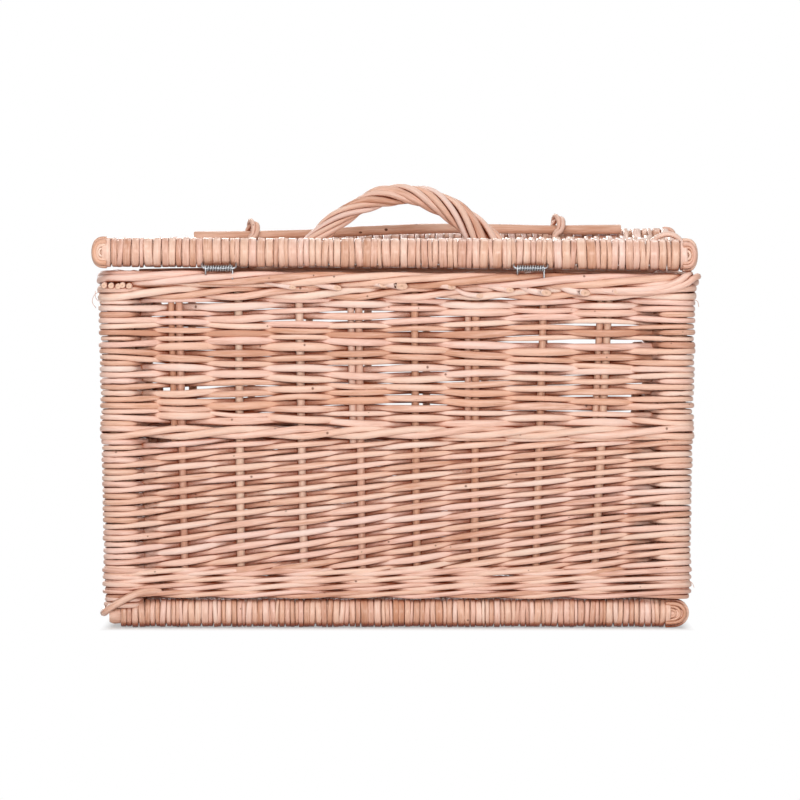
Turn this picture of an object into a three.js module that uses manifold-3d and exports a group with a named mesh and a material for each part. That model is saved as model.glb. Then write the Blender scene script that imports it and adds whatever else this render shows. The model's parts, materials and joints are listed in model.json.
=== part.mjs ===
// Wicker pet carrier: a willow basket with a woven lid that opens on two wire hinges along
// the back and is locked at the front by a rod pushed through two willow loops.
// Millimetres, +Z up, origin on the floor under the middle. The hinges are on the -Y side,
// the barred window is on the +Y side and the length runs along X.

import * as THREE from "three";
import { mergeVertices } from "three/addons/utils/BufferGeometryUtils.js";
import Module from "manifold-3d";

const wasm = await Module();
wasm.setup();

// Driving sizes of the whole carrier
const LENGTH = 500;
const DEPTH = 370;
const CLEARANCE = 0.3;

// Base and lid mats: thick rails front and back, sticks between them, weave round both
const BASE_RAIL_DIAMETER = 19;
const LID_RAIL_DIAMETER = 19.8;
const WRAP_THICKNESS = 3;
const MAT_THICKNESS = 16;
const STICK_DIAMETER = 9;
const STICK_COUNT = 4;
const RAIL_END = 6;

// Heights of the wall's zones from the base up
const LOWER_WEAVE_HEIGHT = 130.7;
const MIDDLE_WALE_HEIGHT = 12;
const WINDOW_HEIGHT = 103;
const TOP_WALE_HEIGHT = 12.4;
const BORDER_HEIGHT = 10.9;

// Walls
const WALL_THICKNESS = 22;
const WALL_FLARE = 4;
const WALE_BULGE = 2.5;
const WALE_EASE = 1.5;
const CORNER_RADIUS = 12;
const POST_DIAMETER = 15.5;
const POST_INSET = 13;
const STAKE_DIAMETER = 6.6;
const LONG_STAKES = 8;
const SHORT_STAKES = 5;

// Weave in relief: rows sink where they go behind a stake, strips where they go under a stick
const WEAVE_ROW = 13;
const WEAVE_DIP = 5;
const MAT_STRIP = 24;
const MAT_DIP = 4.5;
const STRIP_DIP = 2;

// How far each back stake stands from even spacing, left to right, at its foot and its top
const BACK_WANDER_FOOT = [4, -1, 0, -3, -9, -13, -14, -17];
const BACK_WANDER_TOP = [2, -1, -3, -6, -12, -13, -9, -7];

// Rolled border
const BORDER_OVERHANG = 4.6;
const BORDER_ROUNDING = 3;

// Lid: the weave has warped, so each corner stands off the border by its own amount
const LID_GAP = 2.15;
const LIFT_BACK_LEFT = 1.05;
const LIFT_BACK_RIGHT = -1.05;
const LIFT_FRONT_LEFT = 1.3;
const LIFT_FRONT_RIGHT = 11;

// Wire hinges
const HINGE_LEFT_X = -146.5;
const HINGE_RIGHT_X = 110;
const COIL_DIAMETER = 5.8;
const COIL_PROUD = 2.4;
const COIL_WIRE = 1.4;
const COIL_PITCH = 2.2;
const COIL_TURNS = 10;
const LINK_WIRE = 1.8;
const LINK_REACH = 3;
const LINK_DEPTH = 8;

// Handle
const HANDLE_SPAN = 161;
const HANDLE_CENTRE_X = 4;
const HANDLE_RISE = 47.4;
const HANDLE_DIAMETER_LEFT = 15.5;
const HANDLE_DIAMETER_RIGHT = 22;
const HANDLE_STRANDS = 5;
const HANDLE_TURNS = 2;
const HANDLE_GROOVE = 1.6;
const HANDLE_STEPS = 36;

// Locking rod and its loops
const ROD_DIAMETER = 8.3;
const ROD_LENGTH = 376.5;
const ROD_CENTRE_X = 9;
const LOOP_LEFT_X = -128;
const LOOP_RIGHT_X = 141;
const LOOP_STRAND = 6;
const LOOP_SPREAD = 4;
const SLOT_LENGTH = 17;
const SLOT_WIDTH = 26.5;

// Heights worked out from the zones
const baseWrap = BASE_RAIL_DIAMETER / 2 + WRAP_THICKNESS;
const lidWrap = LID_RAIL_DIAMETER / 2 + WRAP_THICKNESS;
const wallBottom = 2 * baseWrap + CLEARANCE;
const middleWaleBottom = wallBottom + LOWER_WEAVE_HEIGHT;
const middleWaleTop = middleWaleBottom + MIDDLE_WALE_HEIGHT;
const topWaleBottom = middleWaleTop + WINDOW_HEIGHT;
const wallTop = topWaleBottom + TOP_WALE_HEIGHT;
const borderBottom = wallTop + CLEARANCE;
const borderTop = borderBottom + BORDER_HEIGHT;
const lidMiddle = borderTop + LID_GAP + lidWrap;

// Half sizes in plan; the hinge coils stand proud of the lid and the border at the back
const lidHalfDepth = DEPTH / 2 - COIL_PROUD;
const borderHalfLength = LENGTH / 2;
const borderHalfDepth = lidHalfDepth;
const wallTopHalfLength = borderHalfLength - BORDER_OVERHANG;
const wallTopHalfDepth = borderHalfDepth - BORDER_OVERHANG;
const baseHalfLength = wallTopHalfLength - WALL_FLARE;
const baseHalfDepth = wallTopHalfDepth - WALL_FLARE - 1;
const baseRailY = baseHalfDepth - baseWrap;
const lidRailY = lidHalfDepth - lidWrap;

// Hinge axis, in the groove between the back rail and the border
const hingeY = -(DEPTH / 2 - COIL_DIAMETER / 2 - 0.2);
const hingeZ = borderTop + COIL_DIAMETER / 2;

// Locking rod's line, on the lid just inside the front rail
const slotOuterY = lidRailY - lidWrap - 1;
const slotMiddleY = slotOuterY - SLOT_WIDTH / 2;
const rodY = slotMiddleY;
const rodHeight = MAT_THICKNESS / 2 + ROD_DIAMETER / 2 + CLEARANCE;

// Bays of the lid's mat, counted from the back, that are packed full under the rod and the handle's feet
const handleBay = STICK_COUNT / 2;
const latchBay = STICK_COUNT;
const footReach = HANDLE_DIAMETER_RIGHT + MAT_STRIP / 4;

function lidPacked(x, bay) {
  const fromFoot = Math.abs(Math.abs(x - HANDLE_CENTRE_X) - HANDLE_SPAN / 2);
  return bay === latchBay || (bay === handleBay && fromFoot < footReach);
}

const willow = new THREE.MeshStandardMaterial({ color: 0xdfb09a, roughness: 0.6, metalness: 0 });
const peeledStick = new THREE.MeshStandardMaterial({ color: 0xd7aa96, roughness: 0.55, metalness: 0 });
const steel = new THREE.MeshStandardMaterial({ color: 0x8d8f90, roughness: 0.35, metalness: 1 });

const group = new THREE.Group();
group.name = "wicker_pet_carrier";

function addPart(name, geometry, material) {
  const mesh = new THREE.Mesh(geometry, material.clone());
  mesh.name = name;
  group.add(mesh);
}

function point(x, y, z) {
  return new THREE.Vector3(x, y, z);
}

// A closed solid from rings of points, each ring counter-clockwise about the way it travels
function skin(rings) {
  const count = rings[0].length;
  const points = rings.flat();
  const faces = [];
  for (let i = 0; i + 1 < rings.length; i++) {
    for (let k = 0; k < count; k++) {
      const next = (k + 1) % count;
      const a = i * count + k;
      const b = i * count + next;
      faces.push(a, b, b + count, a, b + count, a + count);
    }
  }
  [rings[0], rings[rings.length - 1]].forEach((ring, end) => {
    const middle = ring.reduce((sum, p) => sum.add(p), point(0, 0, 0)).divideScalar(count);
    const centre = points.push(middle) - 1;
    const first = end * (rings.length - 1) * count;
    for (let k = 0; k < count; k++) {
      const a = first + k;
      const b = first + ((k + 1) % count);
      faces.push(centre, end ? a : b, end ? b : a);
    }
  });
  const geometry = new THREE.BufferGeometry().setFromPoints(points);
  geometry.setIndex(faces);
  return geometry;
}

// A strand along a path; radiusAt gives its section from the share of the path and the angle
function strand(path, radiusAt, sides) {
  const last = path.length - 1;
  const start = path[1].clone().sub(path[0]);
  const across = Math.abs(start.x) > Math.abs(start.z) ? point(0, 0, 1) : point(1, 0, 0);
  let normal = across;
  const rings = path.map((here, i) => {
    const tangent = path[Math.min(i + 1, last)].clone().sub(path[Math.max(i - 1, 0)]).normalize();
    normal = normal.clone().addScaledVector(tangent, -normal.dot(tangent)).normalize();
    const binormal = tangent.clone().cross(normal);
    return Array.from({ length: sides }, (_, k) => {
      const angle = (2 * Math.PI * k) / sides;
      const radius = radiusAt(i / last, angle);
      return here
        .clone()
        .addScaledVector(normal, radius * Math.cos(angle))
        .addScaledVector(binormal, radius * Math.sin(angle));
    });
  });
  return skin(rings);
}

// A straight round stick between two points, with flats facing along the axes
function rod(from, to, diameter, sides) {
  const along = to.clone().sub(from);
  const radius = diameter / 2 / Math.cos(Math.PI / sides);
  const geometry = new THREE.CylinderGeometry(
    radius, radius, along.length(), sides, 1, false, Math.PI / sides,
  );
  geometry.applyQuaternion(
    new THREE.Quaternion().setFromUnitVectors(point(0, 1, 0), along.normalize()),
  );
  const middle = from.clone().add(to).divideScalar(2);
  return geometry.translate(middle.x, middle.y, middle.z);
}

function box(from, to) {
  const size = to.clone().sub(from);
  const middle = from.clone().add(to).divideScalar(2);
  return new THREE.BoxGeometry(size.x, size.y, size.z).translate(middle.x, middle.y, middle.z);
}

function toManifold(geometry) {
  const bare = geometry.clone();
  bare.deleteAttribute("normal");
  bare.deleteAttribute("uv");
  const merged = mergeVertices(bare, 1e-4);
  const mesh = new wasm.Mesh({
    numProp: 3,
    vertProperties: new Float32Array(merged.attributes.position.array),
    triVerts: new Uint32Array(merged.index.array),
  });
  return new wasm.Manifold(mesh);
}

function toGeometry(manifold) {
  const mesh = manifold.getMesh();
  const geometry = new THREE.BufferGeometry();
  geometry.setAttribute("position", new THREE.BufferAttribute(new Float32Array(mesh.vertProperties), 3));
  geometry.setIndex(new THREE.BufferAttribute(new Uint32Array(mesh.triVerts), 1));
  return geometry;
}

// One solid from the joined shapes, with the cuts taken out of it
function carve(joined, cuts) {
  let body = toManifold(joined[0]);
  joined.slice(1).forEach((shape) => {
    body = body.add(toManifold(shape));
  });
  cuts.forEach((shape) => {
    body = body.subtract(toManifold(shape));
  });
  return toGeometry(body);
}

// How far the warped lid stands above its flat place at a point in plan
function lidLift(x, y) {
  const right = 0.5 + x / LENGTH;
  const front = 0.5 + y / DEPTH;
  const backLift = LIFT_BACK_LEFT * (1 - right) + LIFT_BACK_RIGHT * right;
  const frontLift = LIFT_FRONT_LEFT * (1 - right) + LIFT_FRONT_RIGHT * right;
  return backLift * (1 - front) + frontLift * front;
}

function lidPoint(x, y, height) {
  return point(x, y, lidMiddle + height + lidLift(x, y));
}

// Shapes made flat about the lid's middle plane, lifted to where the warped lid is
function warped(geometry) {
  const places = geometry.attributes.position;
  for (let i = 0; i < places.count; i++) {
    const lift = lidLift(places.getX(i), places.getY(i));
    places.setZ(i, places.getZ(i) + lidMiddle + lift);
  }
  return geometry;
}

// Places of the sticks across a mat, evenly between its two rails
function stickPlaces(railY) {
  const pitch = (2 * railY) / (STICK_COUNT + 1);
  return Array.from({ length: STICK_COUNT }, (_, i) => -railY + pitch * (i + 1));
}

const longStakes = Array.from({ length: LONG_STAKES }, (_, i) => i);
const shortStakes = Array.from({ length: SHORT_STAKES }, (_, i) => i);

// Half sizes of the walls' outer faces at a height
function wallHalf(topHalf, z) {
  return topHalf - WALL_FLARE * ((wallTop - z) / (wallTop - wallBottom));
}

// Uprights' places with the middles of the bays between them
function halfBays(places) {
  return places.flatMap((place, i) => (i ? [(places[i - 1] + place) / 2, place] : [place]));
}

// Levels up a woven zone, one through the middle of each row: height, bulge and the row's number
function wovenLevels(bottom, top) {
  const rows = Math.round((top - bottom) / WEAVE_ROW);
  const pitch = (top - bottom) / rows;
  return Array.from({ length: rows }, (_, row) => [bottom + pitch * (row + 0.5), 0, row]);
}

// How far a row lies behind the wall's face, at a count of half bays from the wall's end
function rowDip(halfBay, row) {
  return row === undefined ? 0 : (WEAVE_DIP / 2) * (1 - Math.cos(Math.PI * (halfBay / 2 + row)));
}

const lowerLevels = [
  [wallBottom, 0],
  ...wovenLevels(wallBottom, middleWaleBottom),
  [middleWaleBottom, 0],
  [middleWaleBottom + WALE_EASE, WALE_BULGE],
  [middleWaleTop - WALE_EASE, WALE_BULGE],
  [middleWaleTop, 0],
];
const windowLevels = wovenLevels(middleWaleTop, topWaleBottom);
const upperLevels = [
  [topWaleBottom, 0],
  [topWaleBottom + WALE_EASE, WALE_BULGE],
  [wallTop, WALE_BULGE],
];

function mirrored(ring, axis) {
  ring.forEach((p) => {
    p[axis] = -p[axis];
  });
  return ring.reverse();
}

function arc(x, y, z, radius, startAngle, steps) {
  return Array.from({ length: steps + 1 }, (_, i) => {
    const angle = startAngle + ((Math.PI / 2) * i) / steps;
    return point(x + radius * Math.cos(angle), y + radius * Math.sin(angle), z);
  });
}

// Plan of a side wall, which goes round both corner posts
function sideWallRing(side, z, bulge, row) {
  const outer = wallHalf(wallTopHalfLength, z) + bulge;
  const inner = wallHalf(wallTopHalfLength, z) - WALL_THICKNESS;
  const half = wallHalf(wallTopHalfDepth, z) + bulge;
  const round = CORNER_RADIUS;
  const stakes = shortStakes.map((i) => stakeShare(i, SHORT_STAKES) * stakeHalf(wallTopHalfDepth, z));
  const face = halfBays([round - half, ...stakes, half - round]);
  const ring = [
    point(inner, -half, z),
    ...arc(outer - round, -half + round, z, round, -Math.PI / 2, 4),
    ...face.map((y, i) => point(outer - rowDip(i, row), y, z)).slice(1, -1),
    ...arc(outer - round, half - round, z, round, 0, 4),
    point(inner, half, z),
  ];
  return side < 0 ? mirrored(ring, "x") : ring;
}

// Plan of the back or front wall, which stands between the side walls
function longWallRing(side, z, bulge, row) {
  const half = wallHalf(wallTopHalfLength, z) - WALL_THICKNESS - CLEARANCE;
  const outer = wallHalf(wallTopHalfDepth, z) + bulge;
  const inner = wallHalf(wallTopHalfDepth, z) - WALL_THICKNESS;
  const climb = (z - wallBottom) / (wallTop - wallBottom);
  const stakes = longStakes.map((i) => point(0, 0, 0).lerpVectors(...longStakeLine(side, i), climb).x);
  const face = halfBays([-half, ...stakes, half]).map((x, i) => point(x, outer - rowDip(i, row), z));
  const ring = [point(half, inner, z), ...face.reverse(), point(-half, inner, z)];
  return side < 0 ? mirrored(ring, "y") : ring;
}

// Middle of a wall's thickness at a height, where its stakes stand
function stakeHalf(topHalf, z) {
  return wallHalf(topHalf, z) - WALL_THICKNESS / 2;
}

function postHalf(topHalf, z) {
  return wallHalf(topHalf, z) - POST_INSET;
}

function upright(side, foot, top) {
  return [
    point(foot.x, foot.y, wallBottom),
    point(top.x, top.y, wallTop),
  ].map((p) => p.multiply(point(side.x, side.y, 1)));
}

function postLine(sideX, sideY) {
  const foot = { x: postHalf(wallTopHalfLength, wallBottom), y: postHalf(wallTopHalfDepth, wallBottom) };
  const top = { x: postHalf(wallTopHalfLength, wallTop), y: postHalf(wallTopHalfDepth, wallTop) };
  return upright({ x: sideX, y: sideY }, foot, top);
}

// Share of the way between the two posts, from -1 to 1
function stakeShare(index, count) {
  return (2 * (index + 1)) / (count + 1) - 1;
}

function longStakeLine(side, index) {
  const share = stakeShare(index, LONG_STAKES);
  const wanderFoot = side < 0 ? BACK_WANDER_FOOT[index] : 0;
  const wanderTop = side < 0 ? BACK_WANDER_TOP[index] : 0;
  const foot = {
    x: share * stakeHalf(wallTopHalfLength, wallBottom) + wanderFoot,
    y: stakeHalf(wallTopHalfDepth, wallBottom),
  };
  const top = {
    x: share * stakeHalf(wallTopHalfLength, wallTop) + wanderTop,
    y: stakeHalf(wallTopHalfDepth, wallTop),
  };
  return upright({ x: 1, y: side }, foot, top);
}

function sideStakeLine(side, index) {
  const share = stakeShare(index, SHORT_STAKES);
  const foot = {
    x: stakeHalf(wallTopHalfLength, wallBottom),
    y: share * stakeHalf(wallTopHalfDepth, wallBottom),
  };
  const top = {
    x: stakeHalf(wallTopHalfLength, wallTop),
    y: share * stakeHalf(wallTopHalfDepth, wallTop),
  };
  return upright({ x: side, y: 1 }, foot, top);
}

// The channel that an upright leaves through the weave, run out past both ends
function channel(line, diameter, sides) {
  const along = line[1].clone().sub(line[0]).normalize();
  const from = line[0].clone().addScaledVector(along, -5);
  const to = line[1].clone().addScaledVector(along, 5);
  return rod(from, to, diameter + 2 * CLEARANCE, sides);
}

// Section across a mat: full over the sticks and where it is packed, thinner in the bays between
function matRing(x, railY, isPacked, strip) {
  const places = halfBays([-railY, ...stickPlaces(railY), railY]);
  const half = (i, face) => {
    if (strip === undefined || isPacked(x, (i - 1) / 2)) {
      return MAT_THICKNESS / 2;
    }
    return MAT_THICKNESS / 2 - (i % 2 ? MAT_DIP : STRIP_DIP * ((strip + i / 2 + face) % 2));
  };
  const bottom = places.map((y, i) => point(x, y, -half(i, 1)));
  const top = places.map((y, i) => point(x, y, half(i, 0)));
  return [...bottom, ...top.reverse()];
}

// A mat of strips laid over one stick and under the next, flat about its middle plane
function matSolid(weaveHalf, railY, isPacked) {
  const count = Math.round((2 * weaveHalf) / MAT_STRIP);
  const strips = Array.from({ length: count }, (_, strip) => (
    matRing(weaveHalf * ((2 * strip + 1) / count - 1), railY, isPacked, strip)
  ));
  const ends = [-weaveHalf, weaveHalf].map((x) => matRing(x, railY, isPacked));
  return skin([ends[0], ...strips, ends[1]]);
}

// Base
function buildBase() {
  const rails = { back: -baseRailY, front: baseRailY };
  const places = stickPlaces(baseRailY);
  const weaveHalf = baseHalfLength - RAIL_END;
  const across = (y, half) => [point(-half, y, baseWrap), point(half, y, baseWrap)];
  Object.entries(rails).forEach(([name, y]) => {
    addPart(`base_rail_${name}`, rod(...across(y, baseHalfLength), BASE_RAIL_DIAMETER, 16), peeledStick);
  });
  places.forEach((y, i) => {
    addPart(`base_stick_${i + 1}`, rod(...across(y, weaveHalf), STICK_DIAMETER, 10), peeledStick);
  });
  const mat = matSolid(weaveHalf, baseRailY, () => false).translate(0, 0, baseWrap);
  const wraps = Object.values(rails).map((y) => rod(...across(y, weaveHalf), 2 * baseWrap, 16));
  const railHoles = Object.values(rails).map((y) => (
    rod(...across(y, baseHalfLength + 1), BASE_RAIL_DIAMETER + 2 * CLEARANCE, 16)
  ));
  const stickHoles = places.map((y) => (
    rod(...across(y, baseHalfLength + 1), STICK_DIAMETER + 2 * CLEARANCE, 10)
  ));
  addPart("base_weave", carve([mat, ...wraps], [...railHoles, ...stickHoles]), willow);
}

// Uprights and walls
function buildWalls() {
  const sides = [["left", -1], ["right", 1]];
  const faces = [["back", -1], ["front", 1]];
  faces.forEach(([face, sideY]) => {
    sides.forEach(([side, sideX]) => {
      addPart(`corner_post_${face}_${side}`, rod(...postLine(sideX, sideY), POST_DIAMETER, 12), peeledStick);
    });
    longStakes.forEach((i) => {
      addPart(`${face}_stake_${i + 1}`, rod(...longStakeLine(sideY, i), STAKE_DIAMETER, 8), peeledStick);
    });
  });
  sides.forEach(([side, sideX]) => {
    shortStakes.forEach((i) => {
      addPart(`${side}_stake_${i + 1}`, rod(...sideStakeLine(sideX, i), STAKE_DIAMETER, 8), peeledStick);
    });
    const levels = [...lowerLevels, ...windowLevels, ...upperLevels];
    const wall = skin(levels.map((level) => sideWallRing(sideX, ...level)));
    const stakes = shortStakes.map((i) => channel(sideStakeLine(sideX, i), STAKE_DIAMETER, 8));
    const posts = [-1, 1].map((sideY) => channel(postLine(sideX, sideY), POST_DIAMETER, 12));
    addPart(`${side}_wall_weave`, carve([wall], [...stakes, ...posts]), willow);
  });
  const panels = [
    ["back_wall_weave", -1, [...lowerLevels, ...windowLevels, ...upperLevels]],
    ["front_wall_weave", 1, lowerLevels],
    ["front_top_wale", 1, upperLevels],
  ];
  panels.forEach(([name, side, levels]) => {
    const panel = skin(levels.map((level) => longWallRing(side, ...level)));
    const stakes = longStakes.map((i) => channel(longStakeLine(side, i), STAKE_DIAMETER, 8));
    addPart(name, carve([panel], stakes), willow);
  });
}

// Wire coil round the hinge axis: one tail rises from the border inside, the turns run to
// the left, and the other tail hangs outside and turns back into the border
function coilRoute(x) {
  const radius = (COIL_DIAMETER - COIL_WIRE) / 2;
  const half = (COIL_PITCH * COIL_TURNS) / 2;
  const turns = COIL_TURNS + 0.5;
  const steps = turns * 8;
  const rising = [
    point(x + half, hingeY + radius, hingeZ - 10),
    point(x + half, hingeY + radius, hingeZ - 2),
  ];
  const winding = Array.from({ length: steps + 1 }, (_, i) => {
    const angle = (2 * Math.PI * turns * i) / steps;
    const along = x + half - (2 * half * i) / steps;
    return point(along, hingeY + radius * Math.cos(angle), hingeZ + radius * Math.sin(angle));
  });
  const hanging = [
    point(x - half, hingeY - radius, hingeZ - 1.6),
    point(x - half, hingeY - radius + 0.3, hingeZ - 3.4),
    point(x - half, hingeY - radius + 1.6, hingeZ - 4.8),
    point(x - half, hingeY - radius + 7, hingeZ - 5.4),
  ];
  return { rising, winding, hanging };
}

// Least gap between turns of a winding, from its points
function leastGap(points, stepsPerTurn, diameter) {
  let least = Infinity;
  points.forEach((p, i) => {
    points.slice(i + stepsPerTurn - 2).forEach((q) => {
      least = Math.min(least, p.distanceTo(q) - diameter);
    });
  });
  return least;
}

// Link wire: a pin through the coil with a leg at each end hooked into the lid's back rail
function linkLegs(x) {
  const reach = (COIL_PITCH * COIL_TURNS) / 2 + LINK_REACH;
  return [x - reach, x + reach].map((legX) => {
    const foot = point(legX, hingeY, hingeZ);
    const rail = lidPoint(legX, -lidRailY, 0);
    const length = foot.distanceTo(rail) - LID_RAIL_DIAMETER / 2 + LINK_DEPTH;
    const tip = foot.clone().lerp(rail, length / foot.distanceTo(rail));
    return [foot, tip];
  });
}

function linkRoute(x) {
  const [[footA, tipA], [footB, tipB]] = linkLegs(x);
  const bend = 1.5;
  const alongX = point(bend, 0, 0);
  const upA = tipA.clone().sub(footA).setLength(bend);
  const upB = tipB.clone().sub(footB).setLength(bend);
  return [
    tipA,
    footA.clone().add(upA),
    footA.clone().addScaledVector(upA, 0.3).addScaledVector(alongX, 0.3),
    footA.clone().add(alongX),
    footB.clone().sub(alongX),
    footB.clone().addScaledVector(upB, 0.3).addScaledVector(alongX, -0.3),
    footB.clone().add(upB),
    tipB,
  ];
}

function buildHinges() {
  [["left", HINGE_LEFT_X], ["right", HINGE_RIGHT_X]].forEach(([side, x]) => {
    const { rising, winding, hanging } = coilRoute(x);
    const coil = strand([...rising, ...winding, ...hanging], () => COIL_WIRE / 2, 6);
    addPart(`hinge_coil_${side}`, coil, steel);
    addPart(`hinge_link_${side}`, strand(linkRoute(x), () => LINK_WIRE / 2, 8), steel);
    console.log(`hinge_coil_${side} least gap ${leastGap(winding, 8, COIL_WIRE).toFixed(2)} mm`);
  });
}

// Willow loop: up out of the border beside the front rail, through the slot in the lid, over
// the locking rod, down through the slot again and back to the border under the lid
function loopRoute(x) {
  const ring = ROD_DIAMETER / 2 + LOOP_STRAND / 2 + 0.5;
  const centre = lidPoint(x, rodY, rodHeight);
  const under = lidPoint(x, rodY, -MAT_THICKNESS / 2).z;
  const rootY = wallTopHalfDepth - WALL_THICKNESS + 4.5;
  const near = slotOuterY - LOOP_STRAND / 2 - 1.2;
  const far = slotOuterY - SLOT_WIDTH + LOOP_STRAND / 2 + 1.2;
  const left = x - LOOP_SPREAD;
  const right = x + LOOP_SPREAD;
  const places = [
    point(left, rootY, borderTop - 8),
    point(left, rootY - 0.5, borderTop - 2),
    point(left, rootY - 5, borderTop + 3),
    point(left, near, under - 1.5),
    point(left + 0.5, centre.y + ring, centre.z),
    point(x - 1.6, centre.y + ring * 0.71, centre.z + ring * 0.71),
    point(x, centre.y, centre.z + ring),
    point(x + 1.6, centre.y - ring * 0.71, centre.z + ring * 0.71),
    point(right - 0.5, centre.y - ring, centre.z),
    point(right, far, under + 3),
    point(right, far + 4, under - 3.5),
    point(right, rootY - 7, borderTop + 3.5),
    point(right, rootY - 0.8, borderTop - 1.5),
    point(right, rootY, borderTop - 8),
  ];
  return new THREE.CatmullRomCurve3(places).getPoints(44);
}

function loopStrand(x, extra) {
  return strand(loopRoute(x), () => LOOP_STRAND / 2 + extra, 8);
}

function buildLatch() {
  [["left", LOOP_LEFT_X], ["right", LOOP_RIGHT_X]].forEach(([side, x]) => {
    addPart(`latch_loop_${side}`, loopStrand(x, 0), willow);
  });
  const ends = [-1, 1].map((end) => lidPoint(ROD_CENTRE_X + (end * ROD_LENGTH) / 2, rodY, rodHeight));
  addPart("lock_rod", rod(...ends, ROD_DIAMETER, 16), peeledStick);
}

// Rolled border: a rounded ring on the walls, with holes for the wires and loops it holds
function borderRing(halfLength, halfDepth, round, z) {
  const x = halfLength - round;
  const y = halfDepth - round;
  return [
    ...arc(x, y, z, round, 0, 5),
    ...arc(-x, y, z, round, Math.PI / 2, 5),
    ...arc(-x, -y, z, round, Math.PI, 5),
    ...arc(x, -y, z, round, -Math.PI / 2, 5),
  ];
}

function buildBorder() {
  const outerLevels = [
    [borderBottom, BORDER_ROUNDING / 2],
    [borderBottom + BORDER_ROUNDING, 0],
    [borderTop - BORDER_ROUNDING, 0],
    [borderTop, BORDER_ROUNDING],
  ];
  const outer = skin(outerLevels.map(([z, inset]) => (
    borderRing(borderHalfLength - inset, borderHalfDepth - inset, CORNER_RADIUS + 4, z)
  )));
  const innerLevels = [
    [borderBottom - 1, 0],
    [borderTop - BORDER_ROUNDING, 0],
    [borderTop + 1, BORDER_ROUNDING + 1],
  ];
  const inner = skin(innerLevels.map(([z, inset]) => borderRing(
    wallTopHalfLength - WALL_THICKNESS + inset, wallTopHalfDepth - WALL_THICKNESS + inset, 5, z,
  )));
  const wireHoles = [HINGE_LEFT_X, HINGE_RIGHT_X].flatMap((x) => {
    const { rising, hanging } = coilRoute(x);
    rising[0].z -= CLEARANCE;
    hanging[hanging.length - 1].y += CLEARANCE;
    return [rising, hanging].map((path) => strand(path, () => COIL_WIRE / 2 + CLEARANCE, 6));
  });
  const loopHoles = [LOOP_LEFT_X, LOOP_RIGHT_X].map((x) => {
    const route = loopRoute(x);
    route[0].z -= CLEARANCE;
    route[route.length - 1].z -= CLEARANCE;
    return strand(route, () => LOOP_STRAND / 2 + CLEARANCE, 8);
  });
  addPart("rim_border", carve([outer], [inner, ...wireHoles, ...loopHoles]), willow);
}

// Handle: rods twisted together into an arch, rooted in the lid's mat
function handleRoute() {
  const arch = new THREE.QuadraticBezierCurve3(
    point(HANDLE_CENTRE_X - HANDLE_SPAN / 2, 0, 0),
    point(HANDLE_CENTRE_X, 0, 2 * HANDLE_RISE),
    point(HANDLE_CENTRE_X + HANDLE_SPAN / 2, 0, 0),
  );
  return arch.getSpacedPoints(HANDLE_STEPS);
}

function handleRadius(share) {
  return (HANDLE_DIAMETER_LEFT + (HANDLE_DIAMETER_RIGHT - HANDLE_DIAMETER_LEFT) * share) / 2;
}

function buildHandle() {
  const lobed = (share, angle) => {
    const wave = Math.abs(Math.sin((HANDLE_STRANDS / 2) * (angle + 2 * Math.PI * HANDLE_TURNS * share)));
    return handleRadius(share) - HANDLE_GROOVE * (1 - wave);
  };
  addPart("handle", warped(strand(handleRoute(), lobed, HANDLE_STRANDS * 6)), willow);
}

function handleSocket() {
  const route = handleRoute();
  const deeper = [route[0], route[route.length - 1]].map((end, i) => {
    const next = route[i ? route.length - 2 : 1];
    return end.clone().add(end.clone().sub(next).setLength(CLEARANCE));
  });
  const path = [deeper[0], ...route, deeper[1]];
  return warped(strand(path, (share) => handleRadius(share) + CLEARANCE, 20));
}

// Lid
function buildLid() {
  const rails = { back: -lidRailY, front: lidRailY };
  const places = stickPlaces(lidRailY);
  const weaveHalf = LENGTH / 2 - RAIL_END;
  const across = (y, half) => [point(-half, y, 0), point(half, y, 0)];
  const legHoles = [HINGE_LEFT_X, HINGE_RIGHT_X].flatMap(linkLegs).map(([foot, tip]) => {
    const deeper = tip.clone().add(tip.clone().sub(foot).setLength(CLEARANCE));
    return rod(foot, deeper, LINK_WIRE + 2 * CLEARANCE, 8);
  });
  Object.entries(rails).forEach(([name, y]) => {
    const rail = warped(rod(...across(y, LENGTH / 2), LID_RAIL_DIAMETER, 16));
    addPart(`lid_rail_${name}`, name === "back" ? carve([rail], legHoles) : rail, peeledStick);
  });
  places.forEach((y, i) => {
    addPart(`lid_stick_${i + 1}`, warped(rod(...across(y, weaveHalf), STICK_DIAMETER, 10)), peeledStick);
  });
  const mat = warped(matSolid(weaveHalf, lidRailY, lidPacked));
  const wraps = Object.values(rails).map((y) => warped(rod(...across(y, weaveHalf), 2 * lidWrap, 16)));
  const railHoles = Object.values(rails).map((y) => (
    warped(rod(...across(y, LENGTH / 2 + 1), LID_RAIL_DIAMETER + 2 * CLEARANCE, 16))
  ));
  const stickHoles = places.map((y) => (
    warped(rod(...across(y, LENGTH / 2 + 1), STICK_DIAMETER + 2 * CLEARANCE, 10))
  ));
  const slots = [LOOP_LEFT_X, LOOP_RIGHT_X].map((x) => {
    const middle = lidPoint(x, slotMiddleY, 0);
    const half = point(SLOT_LENGTH / 2, SLOT_WIDTH / 2, MAT_THICKNESS);
    return box(middle.clone().sub(half), middle.clone().add(half));
  });
  const cuts = [...railHoles, ...stickHoles, ...slots, ...legHoles, handleSocket()];
  addPart("lid_weave", carve([mat, ...wraps], cuts), willow);
}

buildBase();
buildWalls();
buildBorder();
buildHinges();
buildLid();
buildHandle();
buildLatch();

export default group;
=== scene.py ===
"""Looks of the wicker pet carrier: each willow rod is a strand of its own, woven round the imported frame."""

import json
import math

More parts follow.
